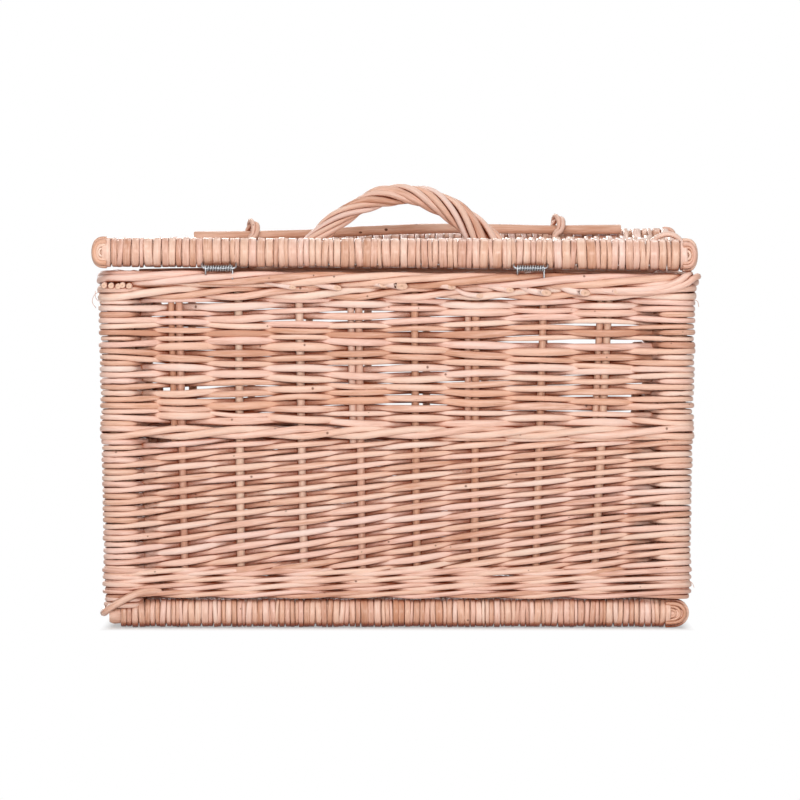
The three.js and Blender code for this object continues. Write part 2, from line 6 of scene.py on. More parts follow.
import bpy
import numpy as np
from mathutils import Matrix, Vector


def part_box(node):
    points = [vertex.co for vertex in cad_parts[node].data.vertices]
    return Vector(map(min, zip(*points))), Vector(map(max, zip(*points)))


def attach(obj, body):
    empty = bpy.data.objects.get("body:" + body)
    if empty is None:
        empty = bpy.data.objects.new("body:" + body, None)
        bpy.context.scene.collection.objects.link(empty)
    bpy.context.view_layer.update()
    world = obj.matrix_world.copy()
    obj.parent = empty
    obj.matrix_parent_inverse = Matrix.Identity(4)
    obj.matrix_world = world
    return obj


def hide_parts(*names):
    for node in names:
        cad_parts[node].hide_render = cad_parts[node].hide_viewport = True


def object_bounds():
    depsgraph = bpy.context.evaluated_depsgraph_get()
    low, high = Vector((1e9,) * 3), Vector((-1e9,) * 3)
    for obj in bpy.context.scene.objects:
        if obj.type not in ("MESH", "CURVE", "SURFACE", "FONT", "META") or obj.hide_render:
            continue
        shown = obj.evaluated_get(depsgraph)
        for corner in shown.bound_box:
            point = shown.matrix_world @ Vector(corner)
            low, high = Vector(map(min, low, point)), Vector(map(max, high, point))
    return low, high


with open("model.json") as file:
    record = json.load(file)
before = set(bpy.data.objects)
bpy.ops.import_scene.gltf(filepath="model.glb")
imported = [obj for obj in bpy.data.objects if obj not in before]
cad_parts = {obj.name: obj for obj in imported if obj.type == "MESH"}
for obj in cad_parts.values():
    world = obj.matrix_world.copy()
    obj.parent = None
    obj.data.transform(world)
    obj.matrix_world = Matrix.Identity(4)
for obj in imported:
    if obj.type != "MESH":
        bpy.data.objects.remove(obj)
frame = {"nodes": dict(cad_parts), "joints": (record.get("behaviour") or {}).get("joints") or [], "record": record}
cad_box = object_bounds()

# The script works in millimetres, and meshes are made in metres
MM = 0.001
UP = np.array([0.0, 0.0, 1.0])
ALONG_X = np.array([1.0, 0.0, 0.0])
ALONG_Y = np.array([0.0, 1.0, 0.0])
BACK, RIGHT, FRONT, LEFT = -ALONG_Y, ALONG_X, ALONG_Y, -ALONG_X

# Camera: height, distance from the back face, sideways place, aimed height, and scale at the back face
PHOTO_SIZE = 800
SENSOR = 36.0
CAMERA_HEIGHT = 310.0
CAMERA_DISTANCE = 4500.0
CAMERA_SIDE = 2.4
AIM_HEIGHT = 189.15
PIXELS_PER_MM = 1.216

# Light, in metres: even light, aim of the softboxes, their places, widths, heights and levels, and the floor
EVEN_LIGHT = 0.09
LIGHT_AIM = (0, 0, 0.2)
SOFTBOXES = {
    "front_softbox": ((0.3, -3.6, 0.9), 2.0, 0.6, 0.625),
    "high_softbox": ((-0.8, -2.0, 2.6), 1.0, 1.0, 0.33),
    "far_softbox": ((0.6, 1.5, 2.9), 1.6, 1.6, 0.4),
    "window_softbox": ((-0.9, 3.2, 1.2), 2.2, 1.2, 0.45),
}
FLOOR_HALF = 8.0

# Willow of each kind: its deep, middle and pale colour, roughness, gloss, and how strongly painted shade darkens
# its hollows
WILLOWS = {
    "willow": ((0.57, 0.29, 0.195), (0.81, 0.53, 0.43), (0.825, 0.63, 0.55), 0.4, 0.16, 1.0),
    "willow_strip": ((0.52, 0.25, 0.16), (0.745, 0.465, 0.36), (0.83, 0.615, 0.52), 0.3, 0.28, 1.0),
    "peeled_stick": ((0.58, 0.3, 0.2), (0.765, 0.49, 0.375), (0.85, 0.63, 0.52), 0.44, 0.16, 0.1),
    "knot": ((0.10, 0.04, 0.025), (0.16, 0.065, 0.04), (0.24, 0.10, 0.06), 0.6, 0.16, 0.0),
}
COOL_TINT = (1.0, 0.985, 1.0)
WARM_TINT = (0.99, 0.985, 0.94)
STAIN_COLOUR = (0.62, 0.265, 0.135)
KNOT_COLOUR = (0.16, 0.06, 0.035)
SPECK_COLOUR = (0.25, 0.10, 0.06)
NOISE_ROUGHNESS = 0.55

# Painted shade darkens the hollows between rods, where their shadow falls: its reach in metres and its tint
PAINTED_SHADE_REACH = 0.009
PAINTED_SHADE_TINT = (0.34, 0.095, 0.035)

# Tones: how widely rods and strips differ, and the tone and warmth of a reddish strip
ROD_TONES = 0.2
STRIP_TONES = 0.16
RED_TONE = (0.05, 1.0)

# Rods: swellings along a rod as shares and lengths, lumps round it, bevel of its ends, thickness left there,
# how square a woven rod is across, where 2 is round, and sides of woven and thin rods
SWELLS = ((0.045, 31.0), (0.03, 11.0))
LUMPS = (0.035, 0.02)
BEVEL = 0.35
BEVEL_LEFT = 0.87
ROD_CORNER = 2.4
WOVEN_SIDES = 12
THIN_SIDES = 10

# Rows below the middle wale: pitch, half thickness, taper and its spread, slopes at foot and top of a wall,
# how far they run under the wales, and how unevenly they lie
LOWER_PITCH = 5.1
LOWER_HALF = (2.4, 2.9)
LOWER_TAPER = (0.11, 0.05)
LONG_WALL_SLOPES = (0.155, 0.08)
SIDE_WALL_SLOPES = (0.11, 0.06)
LOWER_TUCK = (3.5, 1.0)
LOWER_JITTER = 0.35
LOWER_WANDER = 0.2

# Rows above the middle wale: pitch, half thickness, gap, taper, how unevenly they lie, their slow drift and
# its turns by stake, by row and by chance, and their tilt
UPPER_PITCH = 4.05
UPPER_HALF = (2.2, 3.5)
UPPER_GAP = 1.5
UPPER_TAPER = 0.2
UPPER_JITTER = 1.0
UPPER_WANDER = 0.25
UPPER_DRIFT = 1.3
DRIFT_TURNS = (0.9, 0.7, 0.8)
UPPER_TILT = 2.6
TILT_TURN = 0.42
TILT_START = -1.2

# Weavers: thickness lost where a rod crosses its neighbours between stakes, how far off a stake it lies, from
# where and over what length it thickens away from a post, and points in a bend between two stakes
PINCH = 0.2
STAKE_BITE = 0.72
THIN_REACH = 16.0
THIN_LENGTH = 30.0
BEND_POINTS = 10

# Wales: heights, half thicknesses, how far rods rise and fall, rounds of the bottom one, and how far its
# upper rods stand off the posts
MIDDLE_WALE_HEIGHT = 12.0
WALE_HALF = 3.1
WALE_LIFT = 3.4
TOP_WALE_EXTRA = 0.3
BOTTOM_WALE_HEIGHT = 24.0
BOTTOM_WALE_ROUNDS = 4
BOTTOM_WALE_HALF = 2.25
WALE_LAYER = 2.0
WALE_WANDER = 0.3

# Corners: share of the side walls' rods that go round a post, pitch, half thickness and slack of the rods
# round it, drops of two more below the wall at the back left, and the thin rod beside a post
ROUND_SHARE = 0.85
CORNER_PITCH = 5.0
CORNER_HALF = 2.45
CORNER_SLACK = 1.8
FOOT_DROPS = (1.5, 6.0)
LINER_HALF = 2.9
LINER_STEP = 9.2
LINER_OUT = 2.0

# Stakes that have a second rod beside them: how far to the left it stands, how thick it is as a share of the
# stake, and how far below the top of the middle wale it begins
DOUBLED_BACK_STAKES = (1, 4, 6, 8)
SECOND_STAKE_STEP = 6.6
SECOND_STAKE_SHARE = 0.86
SECOND_STAKE_DEPTH = 18.0

# Rolled border: bend at the corners, distance between rods, half thickness, rise of its back to the left,
# lift of its front, and where that lift begins and over what length
RIM_BEND = 14.0
BORDER_STEP = 58.0
BORDER_HALF = 2.95
BORDER_TILT = 3.6
BORDER_FRONT_LIFT = 2.0
FRONT_RAMP_SHARE = 0.75
FRONT_RAMP = 40.0

# Rods that fill the border: place outwards, height over its foot and half thickness
FILLERS = ((6.0, 4.0, 4.0), (0.0, 4.0, 4.0), (8.0, -0.5, 2.8))

# Cut ends under the border at the back: place, height over its foot and half thickness; and how many more
BACK_CUT_ENDS = (
    (-86, -2.0, 2.2), (-49, -2.4, 2.4), (-11, -0.2, 2.3), (4, -0.8, 3.4), (45, -1.6, 2.6),
    (68, -9.0, 2.2), (93, -4.1, 2.5), (123, -6.5, 2.9), (155, -6.5, 2.9), (182, -5.7, 2.6),
)
OTHER_CUT_ENDS = 15

# Ends of rods at the back left corner: place and height; the rod inside the border's front; and loose fibres
CORNER_ENDS = ((-241, 0.2), (-235.4, 0.0), (-229.6, -0.6), (-226, 0.4), (-220.6, -0.2))
INSIDE_ROD_HALF = 3.0
INSIDE_ROD_LIFT = 0.4
FIBRE_HALF = 0.22

# Mats: widths of strips and the share of them used, gaps and how many are wide, bare ends, half thickness on
# a rail and on sticks, how square a strip is, points in a bend between sticks, room at a loop, how far a cut
# strip reaches and dips there, reddish strips of the base, and sag of the lid
STRIP_WIDTHS = ((3.2, 4.4), (4.6, 6.0), (5.2, 6.8), (6.4, 8.0))
STRIP_SHARES = {"base": 0.76, "lid": 1.0}
STRIP_GAP = 0.05
WIDE_GAP = 0.6
WIDE_GAP_SHARE = 0.1
STRIP_MARGINS = {"base": (6.7, 9.4), "lid": (0.5, 4.6)}
WRAP_HALF = 1.5
MAT_HALF = 2.0
STRIP_CORNER = 4.2
MAT_BEND_POINTS = 12
LOOP_ROOM = 8.5
CUT_REACH = 9.0
CUT_DIP = 2.5
RED_PLACE = 2.5
RED_REACH = 4.5
LID_SAG = 0.9

# Noses of the rails: length past the strips, half thickness, strips' places across and shares of the height,
# and how far the rails' own ends lie inside
NOSE_LENGTHS = {"base": 16.0, "lid": 8.9}
NOSE_HALVES = {"base": 1.65, "lid": 2.0}
NOSE_STRIPS = (
    (-0.74, 1), (-0.72, 0.68), (-0.7, 0.38), (-0.26, 1), (0.26, 1), (0.7, 0.38), (0.72, 0.68), (0.74, 1),
)
RAIL_INSET = 3.5

# Handle: rods, turns, a rod's share of the half thickness, lean of the left foot, and how far rods fan out at
# the right foot, from where and over what length
HANDLE_RODS = 7
HANDLE_TURNS = 1.7
HANDLE_ROD_SHARE = 0.31
HANDLE_LEAN = 5.5
HANDLE_FAN = 3.5
FAN_START = 0.72
FAN_LENGTH = 0.28

# Loops: turns, half thickness of both rods together, room round the locking rod and slack over it
LOOP_TURNS = 2.0
LOOP_STRAND_HALF = 3.0
LOOP_CLEARANCE = 0.5
LOOP_SLACK = 4.0

# Locking rod: bow of its middle, where, half the bow's length, its knots' places and the heights they face
ROD_BOW = 3.4
ROD_BOW_PLACE = 30.0
ROD_BOW_HALF = 150.0
ROD_KNOTS = (0.39, 0.45)
KNOT_RISES = (-0.25, 0.1)

# Hinges: half thickness of the wires, turns of a coil and bend of a link
COIL_WIRE_HALF = 0.7
COIL_TURNS = 10
LINK_WIRE_HALF = 0.9
LINK_BEND = 1.6


def add_object(name, data):
    thing = bpy.data.objects.new(name, data)
    bpy.context.scene.collection.objects.link(thing)
    return thing


def make_camera():
    data = bpy.data.cameras.new("camera")
    data.sensor_width = SENSOR
    data.lens = PIXELS_PER_MM * CAMERA_DISTANCE / PHOTO_SIZE * SENSOR
    data.clip_end = 100
    camera = add_object("camera", data)
    back = cad_box[0].y / MM
    drop = math.atan((CAMERA_HEIGHT - AIM_HEIGHT) / CAMERA_DISTANCE)
    camera.location = np.array([CAMERA_SIDE, back - CAMERA_DISTANCE, CAMERA_HEIGHT]) * MM
    camera.rotation_euler = (math.pi / 2 - drop, 0, 0)
    bpy.context.scene.camera = camera


# Reading the frame

def corners(node):
    """Lowest and highest corner of a CAD node, in millimetres."""
    low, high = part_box(node)
    return np.array(low) / MM, np.array(high) / MM


def reach_of(node, axis):
    """Lowest and highest place of a CAD node along an axis (0, 1 or 2)."""
    return [corner[axis] for corner in corners(node)]


def points_of(node):
    return np.array([v.co for v in frame["nodes"][node].data.vertices]) / MM


def rod_axis(node, direction):
    """End centres and radius of a straight CAD rod that runs mainly along one axis (0, 1 or 2)."""
    points = points_of(node)
    reach = points[:, direction]
    rings = [points[reach < reach.min() + 1], points[reach > reach.max() - 1]]
    centres = [(ring.min(0) + ring.max(0)) / 2 for ring in rings]
    across = rings[0].max(0) - rings[0].min(0)
    return centres[0], centres[1], across.max() / 2


def numbers_of(name):
    """Numbers of the CAD nodes that share a name, such as back_stake."""
    return [i for i in range(1, len(frame["nodes"]) + 1) if f"{name}_{i}" in frame["nodes"]]


def body_of(node):
    bodies = frame["record"]["behaviour"]["bodies"]
    return next(body for body, nodes in bodies.items() if node in nodes)


# Paths

def unit(vectors):
    return vectors / np.linalg.norm(vectors, axis=-1, keepdims=True)


def ease(share):
    """0 to 1 with level ends."""
    return share * share * (3 - 2 * share)


def circling(turn, first, second):
    """Directions at angles between one direction and another."""
    return np.cos(turn)[:, None] * first + np.sin(turn)[:, None] * second


def distances(path):
    """Distance along a path of each of its points."""
    return np.concatenate([[0], np.cumsum(np.linalg.norm(np.diff(path, axis=0), axis=1))])


def even_steps(path, step):
    """The same path with its points at even distances."""
    path = np.asarray(path, float)
    reach = distances(path)
    count = max(3, int(round(reach[-1] / step)) + 1)
    places = np.linspace(0, reach[-1], count)
    return np.stack([np.interp(places, reach, path[:, k]) for k in range(3)], axis=1)


def relaxed(path, rounds):
    """A path with its bends eased and its ends kept."""
    path = np.array(path, float)
    for _ in range(rounds):
        path[1:-1] = (path[:-2] + 2 * path[1:-1] + path[2:]) / 4
    return path


def curve(points, step):
    """A smooth path through a few points."""
    points = np.asarray(points, float)
    padded = np.vstack([2 * points[0] - points[1], points, 2 * points[-1] - points[-2]])
    t = np.linspace(0, 1, 12, endpoint=False)[:, None]
    pieces = []
    for a, b, c, d in zip(padded, padded[1:], padded[2:], padded[3:]):
        bend = (2 * a - 5 * b + 4 * c - d) * t**2 + (3 * b - a - 3 * c + d) * t**3
        pieces.append(0.5 * (2 * b + (c - a) * t + bend))
    return even_steps(np.vstack(pieces + [points[-1:]]), step)


def s_bend(start, end, out, count):
    """Points after start up to end: straight along the wall, eased through it."""
    share = np.linspace(0, 1, count + 1)[1:, None]
    across = np.dot(end - start, out) * out
    return start + (end - start - across) * share + across * ease(share)


def joined(stretches, count):
    """One path through stretches of points, each with the direction that the bend before it eases along."""
    path = []
    for points, out in stretches:
        path.extend(s_bend(path[-1], points[0], out, count) if path else points[:1])
        path.extend(points[1:])
    return np.array(path)


# Strands

class Bundle:
    """Willow rods gathered into one mesh, each with a tone of its own."""

    def __init__(self, seed):
        self.random = np.random.default_rng(seed)
        self.points = []
        self.tones = []
        self.faces = []
        self.face_uvs = []
        self.cuts = []
        self.count = 0

    def swell(self, length, count):
        """Slow thick and thin stretches along a rod."""
        place = np.linspace(0, length, count)
        phases = self.random.uniform(0, 2 * math.pi, len(SWELLS))
        waves = (share * np.sin(place / long + phase) for (share, long), phase in zip(SWELLS, phases))
        return sum(waves, 1)

    def random_tone(self, spread):
        return np.clip(self.random.normal(0.5, spread), 0, 1), self.random.uniform(0, 1)

    def strand(self, path, half, wide=UP, flat=1.0, sides=8, corner=2.0, slant=0.0, face=UP, tone=None):
        """One rod along a path. half is its half thickness, flat how much wider it is along wide, corner how
        square it is across, and slant how steeply its far end is cut towards face."""
        path = np.asarray(path, float)
        count = len(path)
        half = np.broadcast_to(half, count) * self.swell(distances(path)[-1], count)
        flat = np.broadcast_to(flat, count)
        along = unit(np.gradient(path, axis=0))
        end_steps = np.linalg.norm(path[[1, -2]] - path[[0, -1]], axis=1)
        bevel = np.minimum(half[[0, -1]] * BEVEL, 0.4 * end_steps)
        near = path[:1] + along[:1] * bevel[0]
        far = path[-1:] - along[-1:] * bevel[1]
        path = np.vstack([path[:1], near, path[1:-1], far, path[-1:]])
        along = np.vstack([along[:1], along, along[-1:]])
        half = np.concatenate([[half[0] * BEVEL_LEFT], half, [half[-1] * BEVEL_LEFT]])
        flat = np.concatenate([flat[:1], flat, flat[-1:]])
        side = unit(wide - (along @ wide)[:, None] * along)
        over = np.cross(along, side)
        angle = np.linspace(0, 2 * math.pi, sides, endpoint=False)
        lump = 1 + LUMPS[0] * np.cos(2 * angle + self.random.uniform(0, 6)) + LUMPS[1] * np.cos(3 * angle)
        circle = np.stack([np.cos(angle), np.sin(angle)])
        cosine, sine = np.sign(circle) * np.abs(circle) ** (2 / corner) * lump
        spread = (half * flat)[:, None, None] * cosine[None, :, None] * side[:, None, :]
        rise = half[:, None, None] * sine[None, :, None] * over[:, None, :]
        offset = spread + rise
        for ring in (-2, -1):
            offset[ring] -= np.outer(offset[ring] @ face, along[ring]) * slant
        rings = path[:, None, :] + offset
        self._sides(rings, path, sides)
        self._cap(rings[0][::-1], angle[::-1])
        self._cap(rings[-1], angle)
        seed = self.random.uniform(0, 1)
        tone = tone or self.random_tone(ROD_TONES)
        added = rings.shape[0] * sides + 2 * sides
        self.tones.append(np.tile([*tone, seed, 1.0], (added, 1)))

    def woven(self, path, half):
        """A rod of the weave, a little square across."""
        self.strand(path, half, sides=WOVEN_SIDES, corner=ROD_CORNER)

    def _sides(self, rings, path, sides):
        rows = len(rings)
        grid = self.count + np.arange(rows * sides).reshape(rows, sides)
        right = np.roll(grid, -1, axis=1)
        quads = np.stack([grid[:-1], right[:-1], right[1:], grid[1:]], axis=-1).reshape(-1, 4)
        length = distances(path) * MM + self.random.uniform(0, 50)
        uv = np.empty((rows - 1, sides, 4, 2))
        for corner, (next_side, next_row) in enumerate(((0, 0), (1, 0), (1, 1), (0, 1))):
            uv[:, :, corner, 0] = (np.arange(sides) + next_side) / sides
            uv[:, :, corner, 1] = length[next_row:rows - 1 + next_row, None]
        self.points.append(rings.reshape(-1, 3))
        self.faces.extend(quads.tolist())
        self.face_uvs.append(uv.reshape(-1, 2))
        self.cuts.extend([0] * len(quads))
        self.count += rows * sides

    def _cap(self, ring, angle):
        sides = len(ring)
        self.points.append(ring)
        self.faces.append(list(range(self.count, self.count + sides)))
        self.face_uvs.append(np.stack([0.5 + 0.5 * np.cos(angle), 0.5 + 0.5 * np.sin(angle)], -1))
        self.cuts.append(1)
        self.count += sides

    def build(self, name, body, nodes, finish):
        """Makes the mesh object, puts it on its body and hides the CAD nodes it stands for."""
        skin, cut_end, slot = finish
        mesh = bpy.data.meshes.new(name)
        mesh.from_pydata((np.vstack(self.points) * MM).tolist(), [], self.faces)
        mesh.materials.append(skin)
        mesh.materials.append(cut_end)
        mesh.polygons.foreach_set("material_index", self.cuts)
        mesh.polygons.foreach_set("use_smooth", [True] * len(self.faces))
        layer = mesh.uv_layers.new(name="strand")
        layer.data.foreach_set("uv", np.vstack(self.face_uvs).ravel().astype(np.float32))
        tone = mesh.attributes.new("tone", "FLOAT_COLOR", "POINT")
        tone.data.foreach_set("color", np.vstack(self.tones).ravel().astype(np.float32))
        mesh.update()
        piece = add_object(name, mesh)
        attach(piece, body)
        if nodes:
            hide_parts(*nodes)


# Materials

class Graph:
    """Short ways to add shader nodes to a material or a world."""

    def __init__(self, owner, output):
        owner.use_nodes = True
        self.owner = owner
        self.tree = owner.node_tree
        self.tree.nodes.clear()
        self.output = self.add(output)

    def add(self, kind, inputs=None, **settings):
        """A node with its settings, and with inputs given by number or by name."""
        node = self.tree.nodes.new(kind)
        for key, value in settings.items():
            setattr(node, key, value)
        for key, value in (inputs or {}).items():
            self.put(node.inputs[key], value)
        return node

    def put(self, socket, value):
        """Links an input to an output or sets its value. A tuple is a colour: red, green and blue."""
        if isinstance(value, bpy.types.NodeSocket):
            self.tree.links.new(value, socket)
        else:
            socket.default_value = (*value, 1.0) if isinstance(value, tuple) else value

    def math(self, operation, *values):
        return self.add("ShaderNodeMath", dict(enumerate(values)), operation=operation).outputs[0]

    def times(self, first, second):
        return self.math("MULTIPLY", first, second)

    def mix(self, share, first, second, blend="MIX"):
        inputs = {0: share, 6: first, 7: second}
        return self.add("ShaderNodeMix", inputs, data_type="RGBA", blend_type=blend).outputs[2]

    def spread(self, value, low, high, new_low=0.0, new_high=1.0):
        """A value between low and high moved to a new range, and kept inside it."""
        inputs = dict(enumerate((value, low, high, new_low, new_high)))
        return self.add("ShaderNodeMapRange", inputs).outputs[0]

    def vector(self, *parts):
        return self.add("ShaderNodeCombineXYZ", dict(enumerate(parts))).outputs[0]

    def parts(self, vector):
        return self.add("ShaderNodeSeparateXYZ", {0: vector}).outputs

    def place(self):
        return self.add("ShaderNodeTexCoord").outputs["Object"]

    def noise(self, vector, scale, detail=3.0):
        inputs = {"Vector": vector, "Scale": scale, "Detail": detail, "Roughness": NOISE_ROUGHNESS}
        return self.add("ShaderNodeTexNoise", inputs).outputs["Fac"]

    def spots(self, vector, scale, size, share):
        """Small round spots in a share of the cells of a grid: 1 in a spot and 0 outside."""
        inputs = {"Vector": vector, "Scale": scale}
        cells = self.add("ShaderNodeTexVoronoi", inputs, voronoi_dimensions="2D").outputs
        chance = self.add("ShaderNodeSeparateColor", {0: cells["Color"]}).outputs
        chosen = self.math("LESS_THAN", chance[0], share)
        reach = self.math("MULTIPLY_ADD", chance[1], size * 0.7, size * 0.5)
        inside = self.spread(self.math("DIVIDE", cells["Distance"], reach), 0.6, 1.1, 1.0, 0.0)
        return self.times(inside, chosen)

    def painted_shade(self):
        """Mask of the painted shade: 1 deep between rods that lie close together, and 0 on an open face."""
        node = self.add("ShaderNodeAmbientOcclusion", {"Distance": PAINTED_SHADE_REACH}, samples=5)
        return self.spread(node.outputs["AO"], 0.2, 0.6, 1.0, 0.0)

    def strand_uv(self):
        """Across and along a rod, or the place on its cut end."""
        return self.parts(self.add("ShaderNodeUVMap", uv_map="strand").outputs[0])

    def strand_tones(self):
        """The three random numbers of a rod."""
        tone = self.add("ShaderNodeAttribute", attribute_name="tone").outputs["Color"]
        return self.add("ShaderNodeSeparateColor", {0: tone}).outputs

    def seen_directly(self):
        """1 for rays of the camera, of reflections and through clear bodies, and 0 for light."""
        rays = self.add("ShaderNodeLightPath").outputs
        most = rays["Is Camera Ray"]
        for kind in ("Is Glossy Ray", "Is Transmission Ray"):
            most = self.math("MAXIMUM", most, rays[kind])
        return most

    def shader(self, inputs):
        node = self.add("ShaderNodeBsdfPrincipled", inputs)
        self.put(self.output.inputs[0], node.outputs[0])
        return node

    def blend(self, share, first, second):
        """Shows a share of the second shader over the first."""
        mix = self.add("ShaderNodeMixShader", {0: share, 1: first.outputs[0], 2: second.outputs[0]})
        self.put(self.output.inputs[0], mix.outputs[0])

    def bump(self, shader, height, strength, distance):
        inputs = {"Strength": strength, "Distance": distance, "Height": height}
        self.put(shader.inputs["Normal"], self.add("ShaderNodeBump", inputs).outputs[0])


def material_graph(name):
    return Graph(bpy.data.materials.new(name), "ShaderNodeOutputMaterial")


def willow_material(name):
    """Peeled willow: a tone for each rod, long grain, painted shade in the hollows, warm stains, dark knots and
    specks.
    """
    deep, middle, pale, rough, gloss, painted_shade_share = WILLOWS[name]
    graph = material_graph(name)
    around, along, _ = graph.strand_uv()
    shade, warmth, seed = graph.strand_tones()
    turn = graph.times(around, 2 * math.pi)
    circle = [graph.math(part, turn) for part in ("COSINE", "SINE")]
    shift = graph.times(seed, 37.0)
    grain = graph.noise(graph.vector(*circle, graph.math("MULTIPLY_ADD", along, 30.0, shift)), 1.3, 4.0)
    wide_circle = [graph.times(part, 6.0) for part in circle]
    fibre = graph.noise(graph.vector(*wide_circle, graph.times(along, 60.0)), 1.0)
    slow = graph.noise(graph.vector(shift, 0.0, graph.times(along, 9.0)), 1.0, 2.0)
    tone = shade
    for pattern, amount in ((grain, 1.1), (fibre, 1.0), (slow, 0.9)):
        tone = graph.math("MULTIPLY_ADD", graph.math("SUBTRACT", pattern, 0.5), amount, tone)
    colour = graph.mix(graph.spread(tone, 0.0, 0.5), deep, middle)
    colour = graph.mix(graph.spread(tone, 0.5, 1.0), colour, pale)
    tint = graph.mix(graph.spread(warmth, 0.05, 0.7), COOL_TINT, WARM_TINT)
    colour = graph.mix(1.0, colour, tint, "MULTIPLY")
    stain = graph.times(graph.spread(warmth, 0.72, 1.0), graph.spread(slow, 0.42, 0.7))
    colour = graph.mix(graph.times(stain, 0.6), colour, STAIN_COLOUR)
    flat_place = graph.vector(graph.times(around, 0.018), along, 0.0)
    knots = graph.spots(flat_place, 30.0, 0.03, 0.14)
    colour = graph.mix(graph.times(knots, 0.85), colour, KNOT_COLOUR)
    specks = graph.times(graph.spots(flat_place, 190.0, 0.07, 0.3), graph.spread(warmth, 0.45, 0.85))
    colour = graph.mix(graph.times(specks, 0.5), colour, SPECK_COLOUR)
    # Painted shade: the colour is darkened towards a reddish brown where rods lie close, in place of their shadow
    depth = graph.times(graph.painted_shade(), painted_shade_share)
    painted_shade_colour = graph.add("ShaderNodeGamma", {"Color": PAINTED_SHADE_TINT, "Gamma": depth})
    colour = graph.mix(1.0, colour, painted_shade_colour.outputs[0], "MULTIPLY")
    shine = graph.spread(fibre, 0.3, 0.7, rough - 0.08, rough + 0.12)
    shader = graph.shader({"Base Color": colour, "Roughness": shine, "Specular IOR Level": gloss})
    graph.bump(shader, graph.math("MULTIPLY_ADD", fibre, 0.5, grain), 0.25, 0.0006)
    return graph.owner


def cut_end_material():
    """Cut end of a willow rod: pale wood, a soft darker pith and fine rays."""
    graph = material_graph("willow_cut_end")
    across, up, _ = graph.strand_uv()
    x = graph.math("SUBTRACT", across, 0.5)
    y = graph.math("SUBTRACT", up, 0.5)
    reach = graph.math("SQRT", graph.math("ADD", graph.times(x, x), graph.times(y, y)))
    angle = graph.math("ARCTAN2", y, x)
    rays = graph.noise(graph.vector(graph.times(angle, 5.0), reach, 0.0), 2.0, 2.0)
    blotch = graph.noise(graph.place(), 420.0)
    wood = graph.mix(rays, (0.70, 0.42, 0.29), (0.86, 0.61, 0.47))
    wood = graph.mix(graph.spread(blotch, 0.45, 0.8, 0.0, 0.5), wood, (0.50, 0.26, 0.16))
    pith = graph.spread(reach, 0.07, 0.15, 1.0, 0.0)
    skin = graph.spread(reach, 0.40, 0.5, 0.0, 0.35)
    colour = graph.mix(graph.times(pith, 0.45), wood, (0.36, 0.17, 0.10))
    colour = graph.mix(skin, colour, (0.55, 0.29, 0.19))
    shader = graph.shader({"Base Color": colour, "Roughness": 0.8})
    graph.bump(shader, rays, 0.3, 0.0005)
    return graph.owner


def steel_material():
    """Bright spring wire with faint drawing marks and dull patches."""
    graph = material_graph("spring_steel")
    place = graph.place()
    patch = graph.noise(place, 900.0)
    colour = graph.mix(patch, (0.25, 0.255, 0.27), (0.47, 0.48, 0.50))
    shine = graph.spread(patch, 0.2, 0.8, 0.22, 0.42)
    shader = graph.shader({"Base Color": colour, "Metallic": 1.0, "Roughness": shine})
    graph.bump(shader, graph.noise(place, 2500.0, 2.0), 0.1, 0.0002)
    return graph.owner


# What pieces are finished with: the skin, the cut ends and the slot
CUT_END = cut_end_material()
KNOT = willow_material("knot")
STEEL = steel_material()
WOVEN = (willow_material("willow"), CUT_END, "willow")
WRAPPED = (willow_material("willow_strip"), CUT_END, "willow")
PEELED = (willow_material("peeled_stick"), CUT_END, "peeled_stick")
KNOTTED = (KNOT, KNOT, "peeled_stick")
WIRE = (STEEL, STEEL, "wire")


# Uprights and walls

class Upright:
    """A stake or post, with the outward directions of the wall before and after it."""

    def __init__(self, node, before, after):
        self.node = node
        self.foot, self.top, self.radius = rod_axis(node, 2)
        self.before = before
        self.after = after
        self.out = unit(before + after)
        self.is_post = "post" in node

    def at(self, z):
        share = (z - self.foot[2]) / (self.top[2] - self.foot[2])
        return self.foot + (self.top - self.foot) * share

    def round(self, z, reach, start, end):
        """Points round the upright between two angles; 0 faces as the wall before it, 90 as the one after."""
        turn = np.radians(np.linspace(start, end, 2 + int((end - start) / 18)))
        return self.at(z) + reach * circling(turn, self.before, self.after)


class Wall:
    """One side of the carrier: its uprights from left to right as seen from outside."""

    def __init__(self, name, out, uprights):
        self.name = name
        self.out = out
        self.uprights = uprights
        self.bays = len(uprights) - 1
        self.is_long = name in ("back", "front")


def make_walls():
    """The four walls, in the order back, right, front and left; neighbours share a post."""
    sides = (("back", BACK), ("right", RIGHT), ("front", FRONT), ("left", LEFT))
    places = ("back_left", "back_right", "front_right", "front_left")
    befores = (LEFT, BACK, RIGHT, FRONT)
    posts = [
        Upright(f"corner_post_{place}", before, after)
        for place, before, (_, after) in zip(places, befores, sides)
    ]
    walls = []
    for (name, out), first, last in zip(sides, posts, posts[1:] + posts[:1]):
        numbers = numbers_of(f"{name}_stake")
        if name in ("front", "left"):
            numbers.reverse()
        stakes = [Upright(f"{name}_stake_{i}", out, out) for i in numbers]
        walls.append(Wall(name, out, [first, *stakes, last]))
    return walls


WALLS = make_walls()
RING = [upright for wall in WALLS for upright in wall.uprights[:-1]]
POSTS = [upright for upright in RING if upright.is_post]

# Places taken in the stack of rods round each post
TAKEN_PLACES = {post.node: set() for post in POSTS}

# Heights of the zones and edges of the border, from the frame
WALL_BOTTOM, WALL_TOP = reach_of("back_wall_weave", 2)
FRONT_SILL = reach_of("front_wall_weave", 2)[1]
TOP_WALE_BOTTOM = reach_of("front_top_wale", 2)[0]
LOWER_BOTTOM = WALL_BOTTOM + BOTTOM_WALE_HEIGHT
LOWER_TOP = FRONT_SILL - MIDDLE_WALE_HEIGHT
UPPER_BOTTOM = FRONT_SILL - 1.0
UPPER_TOP = TOP_WALE_BOTTOM + 2.0
BORDER_BOTTOM, BORDER_TOP = reach_of("rim_border", 2)
BORDER_LEFT, BORDER_RIGHT = reach_of("rim_border", 0)
BORDER_BACK = reach_of("rim_border", 1)[0]


